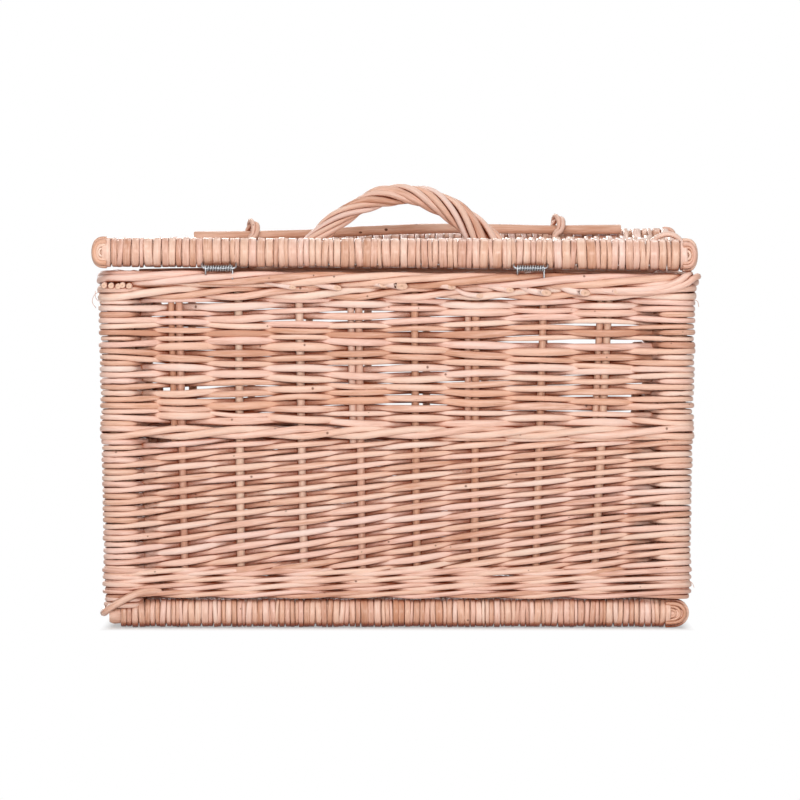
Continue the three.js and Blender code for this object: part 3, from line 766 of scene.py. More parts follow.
def dive(upright, z, reach, first):
    """Tail of a rod that has come round a post: off its face and in behind the wall before or after it."""
    places = ((4.0, 1.0), (8.5, 0.98), (12.0, 0.85), (14.8, 0.45), (16.6, 0.0), (18.5, -0.55), (22.5, -1.0))
    out = upright.before if first else upright.after
    away = np.cross(out, UP) if first else np.cross(UP, out)
    return [upright.at(z) + out * reach * share + away * distance for distance, share in places]


def corner_turn(upright, z, reach, first, returns):
    """Points of a weaver round an end post of its wall. It dives in, or returns inside its own wall."""
    if returns:
        arc = upright.round(z, reach, -90, 90) if first else upright.round(z, reach, 0, 180)
        out = upright.after if first else upright.before
        inward = np.cross(UP, out) if first else np.cross(out, UP)
        tail = [upright.at(z) - out * reach + inward * distance for distance in (5, 12, 20)]
    else:
        arc = upright.round(z, reach, 0, 90)
        tail = dive(upright, z, reach, first)
    return [*tail[::-1], *arc] if first else [*arc, *tail]


def corner_place(upright, z):
    """Height of the nearest free place in the stack of rods round a post, which is then taken, or None."""
    taken = TAKEN_PLACES[upright.node]
    wanted = (z - LOWER_BOTTOM) / CORNER_PITCH
    near = sorted((int(wanted) + step for step in (-1, 0, 1, 2)), key=lambda place: abs(place - wanted))
    free = [place for place in near if place not in taken and abs(place - wanted) <= 1]
    if not free:
        return None
    taken.add(free[0])
    return LOWER_BOTTOM + CORNER_PITCH * free[0]


def wall_route(wall, stops, half):
    """Path of a weaver past its uprights: out or in at a stake, round a post, or round it and back."""
    stretches = []
    for index, way, z in stops:
        upright = wall.uprights[index]
        reach = upright.radius + (half + CORNER_SLACK if upright.is_post else half * STAKE_BITE)
        place = corner_place(upright, z) if way in ("round", "back") else None
        if place is not None:
            points = corner_turn(upright, place, reach, index == 0, way == "back")
        else:
            side = 1 if way == "out" else -1
            points = [upright.at(z) + wall.out * side * reach]
        stretches.append((points, wall.out))
    return joined(stretches, BEND_POINTS)


def wandering(path, random, amount):
    """Lets a weaver wander up and down a little."""
    place = np.linspace(0, len(path) / 10, len(path))
    first, second = random.uniform(0, 2 * math.pi, 2)
    path = path.copy()
    path[:, 2] += amount * (np.sin(place * 1.7 + first) + 0.6 * np.sin(place * 4.1 + second))
    return path


def weave(bundle, wall, stops, half, taper, wander):
    """One weaver, thinner where it crosses its neighbours and near the posts."""
    path = even_steps(wall_route(wall, stops, half), 4.5)
    path = wandering(relaxed(path, 2), bundle.random, wander)
    thin = np.linspace(1 + taper, 1 - taper, len(path))
    stake = wall.uprights[1]
    depth = np.abs((path - stake.at(path[:, 2:])) @ wall.out) / (stake.radius + half)
    thin *= 1 - PINCH * (1 - np.clip(depth, 0, 1)) ** 1.5
    posts = (wall.uprights[0], wall.uprights[-1])
    from_posts = [np.linalg.norm((path - post.at(path[:, 2:]))[:, :2], axis=1) for post in posts]
    away = np.clip((np.minimum(*from_posts) - THIN_REACH) / THIN_LENGTH, 0, 1)
    bundle.woven(path, np.minimum(half * thin, CORNER_HALF + away))


def is_outside(index, row, parity):
    return (index + row + parity) % 2 == 0


def way_at(wall, index, row, parity, upper, random):
    """How a row passes an upright. Only some of the side walls' rods find room round a post."""
    if not is_outside(index, row, parity):
        return "in"
    if 0 < index < wall.bays:
        return "out"
    if wall.is_long:
        return "round"
    if upper and "front" in wall.uprights[index].node:
        return "back"
    return "round" if random.uniform() < ROUND_SHARE else "in"


def climbing(wall, start, share):
    """Height of a row along its wall: steep at the foot of the zone, flatter at its top."""
    steep, flat = LONG_WALL_SLOPES if wall.is_long else SIDE_WALL_SLOPES
    reach = np.linalg.norm(wall.uprights[-1].foot - wall.uprights[0].foot) * share
    tall = LOWER_TOP - LOWER_BOTTOM
    level = LOWER_BOTTOM + tall * steep / (steep - flat)
    return level + (start - level) * math.exp(-(steep - flat) * reach / tall)


def lower_weave(bundle, wall, parity):
    """Slanting rows from the bottom wale to the middle wale, with their ends tucked under the wales."""
    below = int(climbing(wall, LOWER_BOTTOM, 1) - LOWER_BOTTOM) // 3
    tucked = (LOWER_BOTTOM - LOWER_TUCK[0], LOWER_TOP + LOWER_TUCK[1])
    for row in range(-below, int((LOWER_TOP - LOWER_BOTTOM) / LOWER_PITCH)):
        start = LOWER_BOTTOM + LOWER_PITCH * (row + 0.5)
        levels = [climbing(wall, start, i / wall.bays) for i in range(wall.bays + 1)]
        inside = [i for i, level in enumerate(levels) if LOWER_BOTTOM <= level <= LOWER_TOP]
        if not inside:
            continue
        first, last = max(inside[0] - 1, 0), min(inside[-1] + 1, wall.bays)
        if first > 0 and is_outside(first, row, parity):
            first -= 1
        if last < wall.bays and is_outside(last, row, parity):
            last += 1
        half = bundle.random.uniform(*LOWER_HALF)
        heights = np.clip(levels, *tucked) + bundle.random.normal(0, LOWER_JITTER, wall.bays + 1)
        ways = [way_at(wall, i, row, parity, False, bundle.random) for i in range(wall.bays + 1)]
        stops = [(i, ways[i], heights[i]) for i in range(first, last + 1)]
        weave(bundle, wall, stops, half, bundle.random.normal(*LOWER_TAPER), LOWER_WANDER)


def upper_levels():
    """Middles and half thicknesses of the rows above the middle wale, the same on every wall."""
    count = int(round((UPPER_TOP - UPPER_BOTTOM) / UPPER_PITCH))
    halves = np.random.default_rng(41).uniform(*UPPER_HALF, count)
    edges = np.concatenate([[0], np.cumsum(halves + UPPER_GAP)])
    middles = UPPER_BOTTOM + (edges[:-1] + edges[1:]) / 2 / edges[-1] * (UPPER_TOP - UPPER_BOTTOM)
    return zip(middles, halves)


def upper_weave(bundle, wall, parity):
    """Level rows above the middle wale, loose enough to see through in places."""
    by_stake, by_row, by_chance = DRIFT_TURNS
    count = wall.bays + 1
    for row, (z, half) in enumerate(upper_levels()):
        wave = np.arange(count) * by_stake + row * by_row + bundle.random.uniform(0, by_chance)
        tilt = UPPER_TILT * math.sin(row * TILT_TURN + TILT_START) * np.linspace(-1, 1, count)
        drift = UPPER_DRIFT * np.sin(wave) + tilt
        heights = z + drift + bundle.random.normal(0, UPPER_JITTER, count)
        ways = [way_at(wall, i, row, parity, True, bundle.random) for i in range(count)]
        stops = list(zip(range(count), ways, heights))
        taper = bundle.random.uniform(-UPPER_TAPER, UPPER_TAPER)
        weave(bundle, wall, stops, half, taper, UPPER_WANDER)


def corner_rod(bundle, upright, z):
    """A short rod round a post with its ends tucked in behind the walls."""
    half = CORNER_HALF * bundle.random.uniform(0.88, 1.04)
    reach = upright.radius + half + CORNER_SLACK
    before, after = dive(upright, z, reach, True), dive(upright, z, reach, False)
    path = [*before[::-1], *upright.round(z, reach, 0, 90), *after]
    bundle.woven(relaxed(even_steps(path, 4), 1), half)


def close_corners(bundle):
    """Short rods round the posts wherever the walls' own rods leave a place in the stack free."""
    places = int((TOP_WALE_BOTTOM - LOWER_BOTTOM) / CORNER_PITCH)
    wale = [int((z - LOWER_BOTTOM) / CORNER_PITCH + 0.5) for z in (LOWER_TOP + 3, FRONT_SILL - 3)]
    for post in POSTS:
        for place in range(places + 1):
            if place not in TAKEN_PLACES[post.node] and place not in wale:
                corner_rod(bundle, post, LOWER_BOTTOM + CORNER_PITCH * place)
    for drop in FOOT_DROPS:
        corner_rod(bundle, POSTS[0], WALL_BOTTOM - drop)


def make_weaves():
    for number, (wall, parity) in enumerate(zip(WALLS, (0, 0, 1, 1))):
        bundle = Bundle(100 + number)
        lower_weave(bundle, wall, parity)
        if wall.name != "front":
            upper_weave(bundle, wall, parity)
        bundle.build(f"{wall.name}_wall_rods", "basket", [f"{wall.name}_wall_weave"], WOVEN)


def ring_route(start, sides, heights, half, layer):
    """Path of a rod once round all the uprights. Its higher stretches stand off the posts by a layer more."""
    stretches = []
    middle = np.mean(heights)
    for step in range(len(RING) + 1):
        index = (start + step) % len(RING)
        upright = RING[index]
        z = heights[index]
        reach = upright.radius + half + (CORNER_SLACK if upright.is_post else 0)
        if upright.is_post and z > middle:
            reach += layer
        if upright.is_post and sides[index] > 0:
            points = upright.round(z, reach, 0, 90)
        else:
            points = [upright.at(z) + upright.out * sides[index] * reach]
        stretches.append((points, upright.before))
    return joined(stretches, BEND_POINTS)


def wale_round(bundle, z, half, lift, layer=0.0):
    """Three rods twined round the uprights, each in front of two and behind one."""
    for phase in range(3):
        states = [(index + phase) % 3 for index in range(len(RING))]
        sides = [-1 if state == 0 else 1 for state in states]
        heights = [z + (0, -lift, lift)[state] for state in states]
        path = even_steps(ring_route((-phase) % 3, sides, heights, half, layer), 5)
        path = wandering(relaxed(path, 2), bundle.random, WALE_WANDER)
        bundle.woven(path, half * bundle.random.uniform(0.86, 1.08))


def make_wales():
    """The bottom wale with the rods round the posts, then the middle and the top wale."""
    bottom, middle, top = (Bundle(seed) for seed in (201, 202, 203))
    step = BOTTOM_WALE_HEIGHT / BOTTOM_WALE_ROUNDS
    for number in range(BOTTOM_WALE_ROUNDS):
        wale_round(bottom, WALL_BOTTOM + step * (number + 0.5), BOTTOM_WALE_HALF, step / 3, WALE_LAYER)
    close_corners(bottom)
    wale_round(middle, (LOWER_TOP + FRONT_SILL) / 2, WALE_HALF, WALE_LIFT)
    wale_round(top, (TOP_WALE_BOTTOM + WALL_TOP) / 2, WALE_HALF, WALE_LIFT + TOP_WALE_EXTRA)
    bottom.build("bottom_wale", "basket", [], WOVEN)
    middle.build("middle_wale", "basket", [], WOVEN)
    top.build("top_wale", "basket", ["front_top_wale"], WOVEN)


def make_uprights():
    """Each stake and post, some stakes with a second rod beside them and each post with a thin one."""
    doubled = [f"back_stake_{i}" for i in DOUBLED_BACK_STAKES]
    for number, upright in enumerate(RING):
        bundle = Bundle(300 + number)
        wide = np.cross(UP, upright.out)
        sides = WOVEN_SIDES if upright.is_post else THIN_SIDES
        bundle.strand(even_steps([upright.foot, upright.top], 6), upright.radius, wide=wide, sides=sides)
        if upright.node in doubled:
            beside = -SECOND_STAKE_STEP * wide
            foot = upright.at(FRONT_SILL - SECOND_STAKE_DEPTH) + beside * 0.9
            path = even_steps([foot, upright.at(WALL_TOP - 1) + beside], 6)
            bundle.strand(path, upright.radius * SECOND_STAKE_SHARE, wide=wide, sides=THIN_SIDES)
        if upright.is_post:
            inward = -np.sign(upright.foot[0]) * ALONG_X * LINER_STEP
            outward = np.sign(upright.foot[1]) * ALONG_Y * LINER_OUT
            liner = [end + inward + outward for end in (upright.foot, upright.top)]
            bundle.strand(even_steps(liner, 6), LINER_HALF, wide=wide, sides=THIN_SIDES)
        bundle.build(f"{upright.node}_rod", "basket", [upright.node], PEELED)


# Rolled border

class Rim:
    """The line of the uprights' tops round the carrier, with rounded corners."""

    def __init__(self):
        points = []
        outs = []
        for post in POSTS:
            arc_out = circling(np.linspace(0, math.pi / 2, 12), post.before, post.after)
            centre = post.top - (post.before + post.after) * RIM_BEND
            points.append(centre + arc_out * RIM_BEND)
            outs.append(arc_out)
        self.points = np.vstack(points + [points[0][:1]])
        self.outs = np.vstack(outs + [outs[0][:1]])
        self.reach = distances(self.points)
        self.length = self.reach[-1]

    def at(self, place, out, z):
        """Points at distances round the rim, moved outwards, at heights."""
        place = np.mod(place, self.length)
        base = np.stack([np.interp(place, self.reach, self.points[:, k]) for k in range(2)], -1)
        outward = np.stack([np.interp(place, self.reach, self.outs[:, k]) for k in range(2)], -1)
        flat = base + unit(outward) * np.asarray(out)[:, None]
        return np.column_stack([flat, z])

    def line(self, start, stations, step):
        """Smooth path through stations: distance round the rim from start, place outwards, and height."""
        along, out, z = curve(stations, step).T
        return self.at(start + along, out, z)

    def place_of(self, x):
        """Distance round the rim of a point on the back side."""
        line = np.abs(self.outs[:, 1] + 1) < 1e-6
        return np.interp(x, self.points[line, 0], self.reach[line])


RIM = Rim()


def border_tilt(points):
    """The back of the border stands higher at its left end, and the front stands above the level."""
    end, side = np.abs(RIM.points).max(0)[:2]
    front = 0.5 + points[:, 1] / (2 * side)
    back_lift = -BORDER_TILT / 2 * points[:, 0] / end
    ramp = np.clip((points[:, 0] + FRONT_RAMP_SHARE * end) / FRONT_RAMP, 0, 1)
    return points + np.outer(back_lift * (1 - front) + BORDER_FRONT_LIFT * ramp * front, UP)


def border_rod(bundle, start, half):
    """One rod of the border: out from under its neighbour, along the face, over the top and down inside."""
    low, high = BORDER_BOTTOM, BORDER_TOP
    stations = np.array([
        (-16, 2, low + 1.5), (-2, 6.5, low + 0.5), (14, 10.6, low + 0.6), (40, 13.4, low + 2.4),
        (72, 14.6, low + 5.4), (105, 11.0, high - 3.5), (140, 4.5, high - 3.2), (170, -1.5, high - 3.6),
        (200, -7, low + 4), (214, -8, low - 3),
    ], float)
    stations[:, 2] += bundle.random.normal(0, 0.3, len(stations))
    path = even_steps(RIM.line(start, stations, 5), 5)
    body = np.interp(np.linspace(0, 1, len(path)), (0, 0.15, 0.4, 1), (0.72, 0.98, 1.06, 0.85))
    bundle.woven(border_tilt(path), half * body)


def cut_stub(bundle, place, height, half):
    """A cut-off rod end that shows under the border's rods, cut on a slant."""
    end = BORDER_BOTTOM + height
    path = RIM.line(place, [(-30, 6, BORDER_BOTTOM + 5), (-14, 11.5, end + 2.6), (0, 14.6, end)], 4)
    out = RIM.at(np.array([place, place]), np.array([0.0, 1.0]), np.zeros(2))
    bundle.strand(path, half, slant=1.5, face=out[1] - out[0], tone=(0.8, 0.2))


def corner_curls(bundle):
    """Two rods at the right end of the back that turn up and over the corner."""
    low, high, back = BORDER_BOTTOM, BORDER_TOP, BORDER_BACK + 3.2
    for shift, drop, half in ((0.0, 0.0, 3.1), (6.5, 1.8, 2.9)):
        places = (
            (96, 5, low - 3.5), (66, 1.5, low - 4.4 - drop), (36, 0, low - 2.6 - drop),
            (20, 0, low + 2 - drop), (11.5, 1, high - 3.2 - drop), (8.5, 9, high - 2.2 - drop),
            (8.5, 26, high - 4.5),
        )
        points = [(BORDER_RIGHT - inward + shift, back + deep, z) for inward, deep, z in places]
        bundle.strand(curve(points, 4), half, tone=(0.55, 0.3))


def corner_ends(bundle):
    """Square-cut ends of the left side's border rods, which stop at the back corner and face backwards."""
    for x, z in CORNER_ENDS:
        half = bundle.random.uniform(2.3, 2.7)
        start = (x + 2, BORDER_BACK + 40, BORDER_BOTTOM + z + 1)
        end = (x, BORDER_BACK - 0.4, BORDER_BOTTOM - 0.6 + z)
        bundle.strand(even_steps([start, end], 5), half, tone=(0.6, 0.3))


def inside_rod(bundle):
    """A rod laid inside the front of the border, close under the lid, and lower at its left end."""
    side = reach_of("front_top_wale", 1)[0] - 8.0
    end = BORDER_RIGHT - 22.0
    top = reach_of("lid_weave", 2)[0] + INSIDE_ROD_LIFT
    places = ((1, 1), (0.5, 0), (-0.5, 0), (-0.75, 2.5), (-1, 3.5))
    points = [(end * share, side, top - drop) for share, drop in places]
    bundle.strand(curve(points, 6), INSIDE_ROD_HALF)


def loose_fibres(bundle):
    """Thin fibres that stand off the corners of the back."""
    back = BORDER_BACK + 6
    fibres = (
        (BORDER_LEFT, BORDER_BOTTOM, ((7, 0, -4), (1, -2, -8), (-1, -2, -14), (2, 0, -19))),
        (BORDER_LEFT, BORDER_BOTTOM, ((8, 0, -16), (2, -1, -11), (1.5, -2, -5))),
        (BORDER_RIGHT, BORDER_BOTTOM, ((-9, 0, -12), (-3, -1, -13), (-1.5, -1, -18))),
        (BORDER_RIGHT, WALL_BOTTOM, ((-12, 0, 16), (-7, 0, 13), (-5, 0, 9))),
    )
    for x, z, places in fibres:
        points = np.array(places) + (x, back, z)
        bundle.strand(curve(points, 1.5), FIBRE_HALF, sides=6, tone=(0.0, 0.6))


def make_border():
    bundle = Bundle(400)
    count = int(round(RIM.length / BORDER_STEP))
    for number in range(count):
        start = (number + 0.25) * RIM.length / count
        border_rod(bundle, start, BORDER_HALF * bundle.random.uniform(0.92, 1.06))
    around = np.linspace(0, RIM.length, int(RIM.length / 6))
    for out, height, half in FILLERS:
        ring = RIM.at(around, np.full(len(around), out), np.full(len(around), BORDER_BOTTOM + height))
        bundle.strand(border_tilt(ring), half)
    for x, height, half in BACK_CUT_ENDS:
        cut_stub(bundle, RIM.place_of(x), height, half)
    for share in np.linspace(0.32, 0.98, OTHER_CUT_ENDS):
        cut_stub(bundle, share * RIM.length, bundle.random.uniform(-4, -1), bundle.random.uniform(2.3, 3.0))
    corner_ends(bundle)
    corner_curls(bundle)
    inside_rod(bundle)
    loose_fibres(bundle)
    bundle.build("border_rods", "basket", ["rim_border"], WOVEN)


# Mats of the base and the lid

class Mat:
    """Two rails with sticks between them, woven over along Y."""

    def __init__(self, name):
        self.name = name
        self.sag = LID_SAG if name == "lid" else 0.0
        self.rails = [rod_axis(f"{name}_rail_{side}", 0) for side in ("back", "front")]
        self.sticks = [rod_axis(f"{name}_stick_{i}", 0) for i in numbers_of(f"{name}_stick")]

    @staticmethod
    def centre(axis, x):
        start, end, _ = axis
        return start + (end - start) * (x - start[0]) / (end[0] - start[0])

    def wrap(self, rail, x, half, start, end, mirror):
        """Points round a rail, from one angle to another in degrees; 180 is the outer side."""
        sag = self.sag * np.clip(x / rail[1][0], 0, 1)
        centre = self.centre(rail, x) - UP * sag
        turn = np.radians(np.linspace(start, end, max(3, int(abs(end - start) / 15))))
        reach = rail[2] + half + sag
        across = np.cos(turn) * reach * mirror
        return np.column_stack([np.full(len(turn), x), centre[1] + across, centre[2] + np.sin(turn) * reach])

    def routes(self, x, over, wrap_half, is_cut):
        """Paths of one pass. over says whether it goes over the first stick. A cut pass ends after the last
        stick, and a ring goes round the front rail by itself."""
        back, front = self.rails
        turn = 1 if over else -1
        stretches = [(self.wrap(back, x, wrap_half, 35 * turn, 325 * turn, 1), UP)]
        for stick in self.sticks:
            stretches.append(([self.centre(stick, x) + UP * turn * (stick[2] + MAT_HALF)], UP))
            turn = -turn
        if is_cut:
            path = joined(stretches, MAT_BEND_POINTS)
            end = path[-1] + ALONG_Y * CUT_REACH + UP * turn * CUT_DIP
            return [np.vstack([path, end]), self.wrap(front, x, wrap_half, 20, 340, -1)]
        stretches.append((self.wrap(front, x, wrap_half, 85 * turn, 325 * turn, -1), UP))
        return [joined(stretches, MAT_BEND_POINTS)]


def strip_places(random, start, end, share):
    """Middles and widths of strips side by side, narrow and wide mixed, that fill a length exactly."""
    sizes = []
    gaps = []
    while sum(sizes) + sum(gaps) < end - start:
        sizes.append(share * random.uniform(*STRIP_WIDTHS[random.integers(len(STRIP_WIDTHS))]))
        gaps.append(WIDE_GAP if random.uniform() < WIDE_GAP_SHARE else STRIP_GAP)
    sizes, gaps = np.array(sizes), np.array(gaps)
    sizes = sizes * (end - start - gaps.sum()) / sizes.sum()
    starts = start + np.concatenate([[0], np.cumsum(sizes + gaps)[:-1]])
    return starts + sizes / 2, sizes


def mat_strip(bundle, mat, x, width, over, loops):
    """One flattened rod woven across the mat and wound round both rails; it is cut at a loop."""
    is_cut = any(abs(x - loop) < LOOP_ROOM + width / 2 for loop in loops)
    is_red = mat.name == "base" and abs(x - RED_PLACE) < RED_REACH
    loose = WRAP_HALF + bundle.random.uniform(-0.25, 0.35)
    lean = bundle.random.normal(0, 0.03)
    for route in mat.routes(x, over, loose, is_cut):
        path = relaxed(even_steps(route, 5.0), 1)
        share = np.linspace(0, 1, len(path))
        path[:, 2] = np.maximum(path[:, 2], WRAP_HALF)
        path[:, 0] += lean * (path[:, 2] - mat.rails[0][0][2])
        for amount, waves in ((0.25, 23), (0.18, 90)):
            path[:, 0] += amount * np.sin(share * waves + bundle.random.uniform(0, 6))
        tone = bundle.random_tone(STRIP_TONES)
        bundle.strand(
            path, WRAP_HALF, wide=ALONG_X, flat=width / 2 / WRAP_HALF, sides=THIN_SIDES, corner=STRIP_CORNER,
            tone=RED_TONE if is_red else tone,
        )


def rail_nose(bundle, mat, rail, end, start):
    """Strips bent over the end of a rail, side by side, which make its rounded nose."""
    half = NOSE_HALVES[mat.name]
    sag = mat.sag if end > 0 else 0.0
    outward = ALONG_X * end
    foot = (rail[1] if end > 0 else rail[0]) - outward * start - UP * sag
    reach = rail[2] + half * 0.8 + sag
    turn = np.linspace(math.pi / 2, -math.pi / 2, 17)[:, None]
    for side, share in NOSE_STRIPS:
        tall = share * reach * math.sqrt(1 - 0.8 * side * side)
        past = share * (NOSE_LENGTHS[mat.name] - half) * (1 - 0.3 * side * side)
        arc = foot + outward * past * np.cos(turn) ** 0.8 + UP * tall * np.sin(turn) + ALONG_Y * side * reach
        arc = np.vstack([arc[:1] - outward * 4, arc, arc[-1:] - outward * 4])
        width = reach * 0.25 * bundle.random.uniform(0.9, 1.1)
        thick = half * (0.55 + 0.45 * share)
        path = relaxed(even_steps(arc, 1.6), 2)
        bundle.strand(path, thick, wide=ALONG_Y, flat=width / thick, sides=THIN_SIDES, corner=2.6)


def corner_wrap(bundle, rail):
    """At the back left foot the wall's lowest rod slants down over the rail's bare end and round it."""
    places = (
        (46, 12, 9), (34, 7, 8.6), (25, 3, 6.5), (13, 1.5, 0.5), (4, 2.5, -5), (-0.2, 8, -8.6),
        (-1, 22, -9), (1, 46, -5), (6, 74, 2),
    )
    start = (rail[0][0], reach_of("back_wall_weave", 1)[0], rail[0][2] + rail[2])
    bundle.strand(curve(np.array(places) + start, 4), 3.1, tone=(0.45, 0.5))


def edge_rod(bundle, mat):
    """A rod end that arches out of the mat at the right end of the lid and tucks in behind its back rail."""
    back = mat.rails[0]
    places = ((50, 24, -9), (42, 20, -2), (34, 17, 4), (27, 15, 6.5), (20, 14, 5), (15, 12, 0), (12, 9, -7))
    points = [
        mat.centre(back, back[1][0] - inward) + ALONG_Y * deep + UP * (back[2] + rise)
        for inward, deep, rise in places
    ]
    bundle.strand(curve(points, 3), 2.5, tone=(0.7, 0.3))


def finish_ends(bundle, mat, bare):
    """Noses on the rails; a rod of the wall round the base's back left end; an arched rod on the lid."""
    left, right = STRIP_MARGINS[mat.name]
    back, front = mat.rails
    if mat.name == "lid":
        for rail in mat.rails:
            rail_nose(bundle, mat, rail, -1, bare + left)
            rail_nose(bundle, mat, rail, 1, bare + right)
        edge_rod(bundle, mat)
    else:
        for rail in mat.rails:
            rail_nose(bundle, mat, rail, 1, bare + right)
        corner_wrap(bundle, back)
        rail_nose(bundle, mat, front, -1, bare + left)


def make_mat(name, seed, loops):
    mat = Mat(name)
    bundle = Bundle(seed)
    low, high = reach_of(f"{name}_weave", 0)
    left, right = STRIP_MARGINS[name]
    places, widths = strip_places(bundle.random, low + left, high - right, STRIP_SHARES[name])
    for number, (x, width) in enumerate(zip(places, widths)):
        mat_strip(bundle, mat, x, width, number % 2 == 0, loops)
    finish_ends(bundle, mat, mat.rails[0][1][0] - high)
    bundle.build(f"{name}_rods", body_of(f"{name}_weave"), [f"{name}_weave"], WRAPPED)
    rails = zip(("rail_back", "rail_front"), mat.rails, (RAIL_INSET, RAIL_INSET))
    sticks = ((f"stick_{i + 1}", axis, 0) for i, axis in enumerate(mat.sticks))
    for group in (rails, sticks):
        for number, (label, (start, end, radius), inset) in enumerate(group):
            rod = Bundle(seed + 10 + number)
            node = f"{name}_{label}"
            inward = unit(end - start) * inset
            rod.strand(even_steps([start + inward, end - inward], 8), radius * 0.99, sides=14)
            rod.build(f"{node}_rod", body_of(node), [node], PEELED)
    return mat


# Handle

def make_handle(lid):
    """Twisted arch: rods wound round a middle rod, thicker at the right foot."""
    low, high = corners("handle")
    bundle = Bundle(600)
    points = points_of("handle")
    thick_left = np.ptp(points[points[:, 0] < low[0] + 12][:, 1]) / 2
    thick_right = np.ptp(points[points[:, 0] > high[0] - 16][:, 1]) / 2
    left, right = low[0] + thick_left, high[0] - thick_right
    foot_left, foot_right = (Mat.centre(lid.sticks[1], x)[2] for x in (left, right))
    rise = high[2] - (thick_left + thick_right) / 2 - (foot_left + foot_right) / 2
    share = np.linspace(-0.01, 1.01, 120)
    x = left + (right - left) * share - HANDLE_LEAN * np.abs(1 - share) ** 5
    z = foot_left + (foot_right - foot_left) * share + 4 * rise * share * (1 - share)
    spine = np.column_stack([x, np.zeros(len(x)), z])
    along = unit(np.gradient(spine, axis=0))
    normal = np.cross(along, ALONG_Y) * -1
    thick = thick_left + (thick_right - thick_left) * share
    fan = HANDLE_FAN * np.clip(share - FAN_START, 0, 1) / FAN_LENGTH
    for number in range(HANDLE_RODS):
        rod_half = thick * HANDLE_ROD_SHARE * bundle.random.uniform(0.84, 1.12)
        start = (number + bundle.random.uniform(-0.15, 0.15)) / HANDLE_RODS
        turn = 2 * math.pi * (start + HANDLE_TURNS * share)
        offset = circling(turn, normal, ALONG_Y)
        lump = 0.7 * np.sin(share * 19 + bundle.random.uniform(0, 6)) - bundle.random.uniform(-0.4, 0.9)
        path = spine + offset * (thick - rod_half + lump + fan)[:, None]
        bundle.strand(path, rod_half, wide=ALONG_Y, sides=WOVEN_SIDES)
    bundle.strand(spine, thick * 0.5, wide=ALONG_Y, tone=(0.1, 0.4))
    bundle.build("handle_rods", "lid", ["handle"], WOVEN)


# Latch

def rod_line(share):
    """Points along the middle of the locking rod, which bows up a little."""
    start, end, _ = rod_axis("lock_rod", 0)
    points = start + (end - start) * np.asarray(share, float)[:, None]
    away = np.clip((points[:, 0] - ROD_BOW_PLACE) / ROD_BOW_HALF, -1, 1)
    return points + np.outer(ROD_BOW / 2 * (1 + np.cos(math.pi * away)), UP)


def make_rod():
    """Locking rod: a peeled stick with two low knots and square-cut ends."""
    radius = rod_axis("lock_rod", 0)[2]
    share = np.linspace(0, 1, 95)
    half = np.full(len(share), radius * 0.97)
    for knot in ROD_KNOTS:
        half *= 1 + 0.06 * np.exp(-((share - knot) / 0.008) ** 2)
    bundle = Bundle(700)
    bundle.strand(rod_line(share), half, sides=16, tone=(0.24, 0.45))
    bundle.build("lock_rod_stick", "lock_rod", ["lock_rod"], PEELED)
    buds = Bundle(701)
    for middle, rise in zip(rod_line(ROD_KNOTS), KNOT_RISES):
        outward = unit(np.array([0.0, -1.0, rise]))
        path = [middle + outward * radius * reach for reach in (0.8, 0.95, 1.06)]
        buds.strand(path, 1.1, wide=ALONG_X, flat=1.4)
    buds.build("lock_rod_knots", "lock_rod", [], KNOTTED)


def loop_spine(side):
    """Middle of a latch loop: out of the border, over the locking rod and back into the border."""
    low, high = corners(f"latch_loop_{side}")
    axis = rod_axis("lock_rod", 0)
    x = (low[0] + high[0]) / 2
    _, y, z = Mat.centre(axis, x)
    spread = (high[0] - low[0]) / 2 - LOOP_STRAND_HALF
    ring = axis[2] + LOOP_STRAND_HALF + LOOP_CLEARANCE
    bend = ring * 0.71
    shoulder = z + bend + LOOP_SLACK * 0.8
    under = z - axis[2] - 0.3 - 16
    root = high[1] - LOOP_STRAND_HALF
    far = low[1] + LOOP_STRAND_HALF
    top = BORDER_TOP
    places = (
        (-spread, root, top - 8), (-spread, root - 0.5, top - 2), (-spread, root - 5, top + 3),
        (-spread, min(root, y + 9.5), under - 1.5), (-spread, y + ring, z), (-2.6, y + bend, shoulder),
        (0, y, z + ring + LOOP_SLACK), (3, y - bend, shoulder), (2.4, y - ring, z + 1),
        (-2, y - ring - 0.6, z - 4), (-spread, far, under + 3), (-spread, far + 4, under - 3.5),
        (0, root - 7, top + 3.5), (spread, root - 0.8, top - 1.5), (spread, root, top - 8),
    )
    return curve(np.array(places) + ALONG_X * x, 1.6)


def make_loop(side):
    """Latch loop: two rods twisted together."""
    spine = loop_spine(side)
    along = unit(np.gradient(spine, axis=0))
    across = unit(ALONG_X - (along @ ALONG_X)[:, None] * along)
    over = np.cross(along, across)
    bundle = Bundle(710 if side == "left" else 711)
    share = np.linspace(0, 1, len(spine))
    for number in range(2):
        turn = math.pi * number + 2 * math.pi * LOOP_TURNS * share
        path = spine + circling(turn, across, over) * LOOP_STRAND_HALF * 0.6
        bundle.strand(path, LOOP_STRAND_HALF * 0.72, wide=ALONG_X, sides=THIN_SIDES)
    bundle.build(f"latch_loop_{side}_rods", "basket", [f"latch_loop_{side}"], WOVEN)


# Hinges

def hinge_axis():
    """Place of the lid's hinge axis along Y and Z."""
    joint = next(joint for joint in frame["joints"] if joint["name"] == "lid_hinge")
    return joint["pos_m"][1] / MM, joint["pos_m"][2] / MM


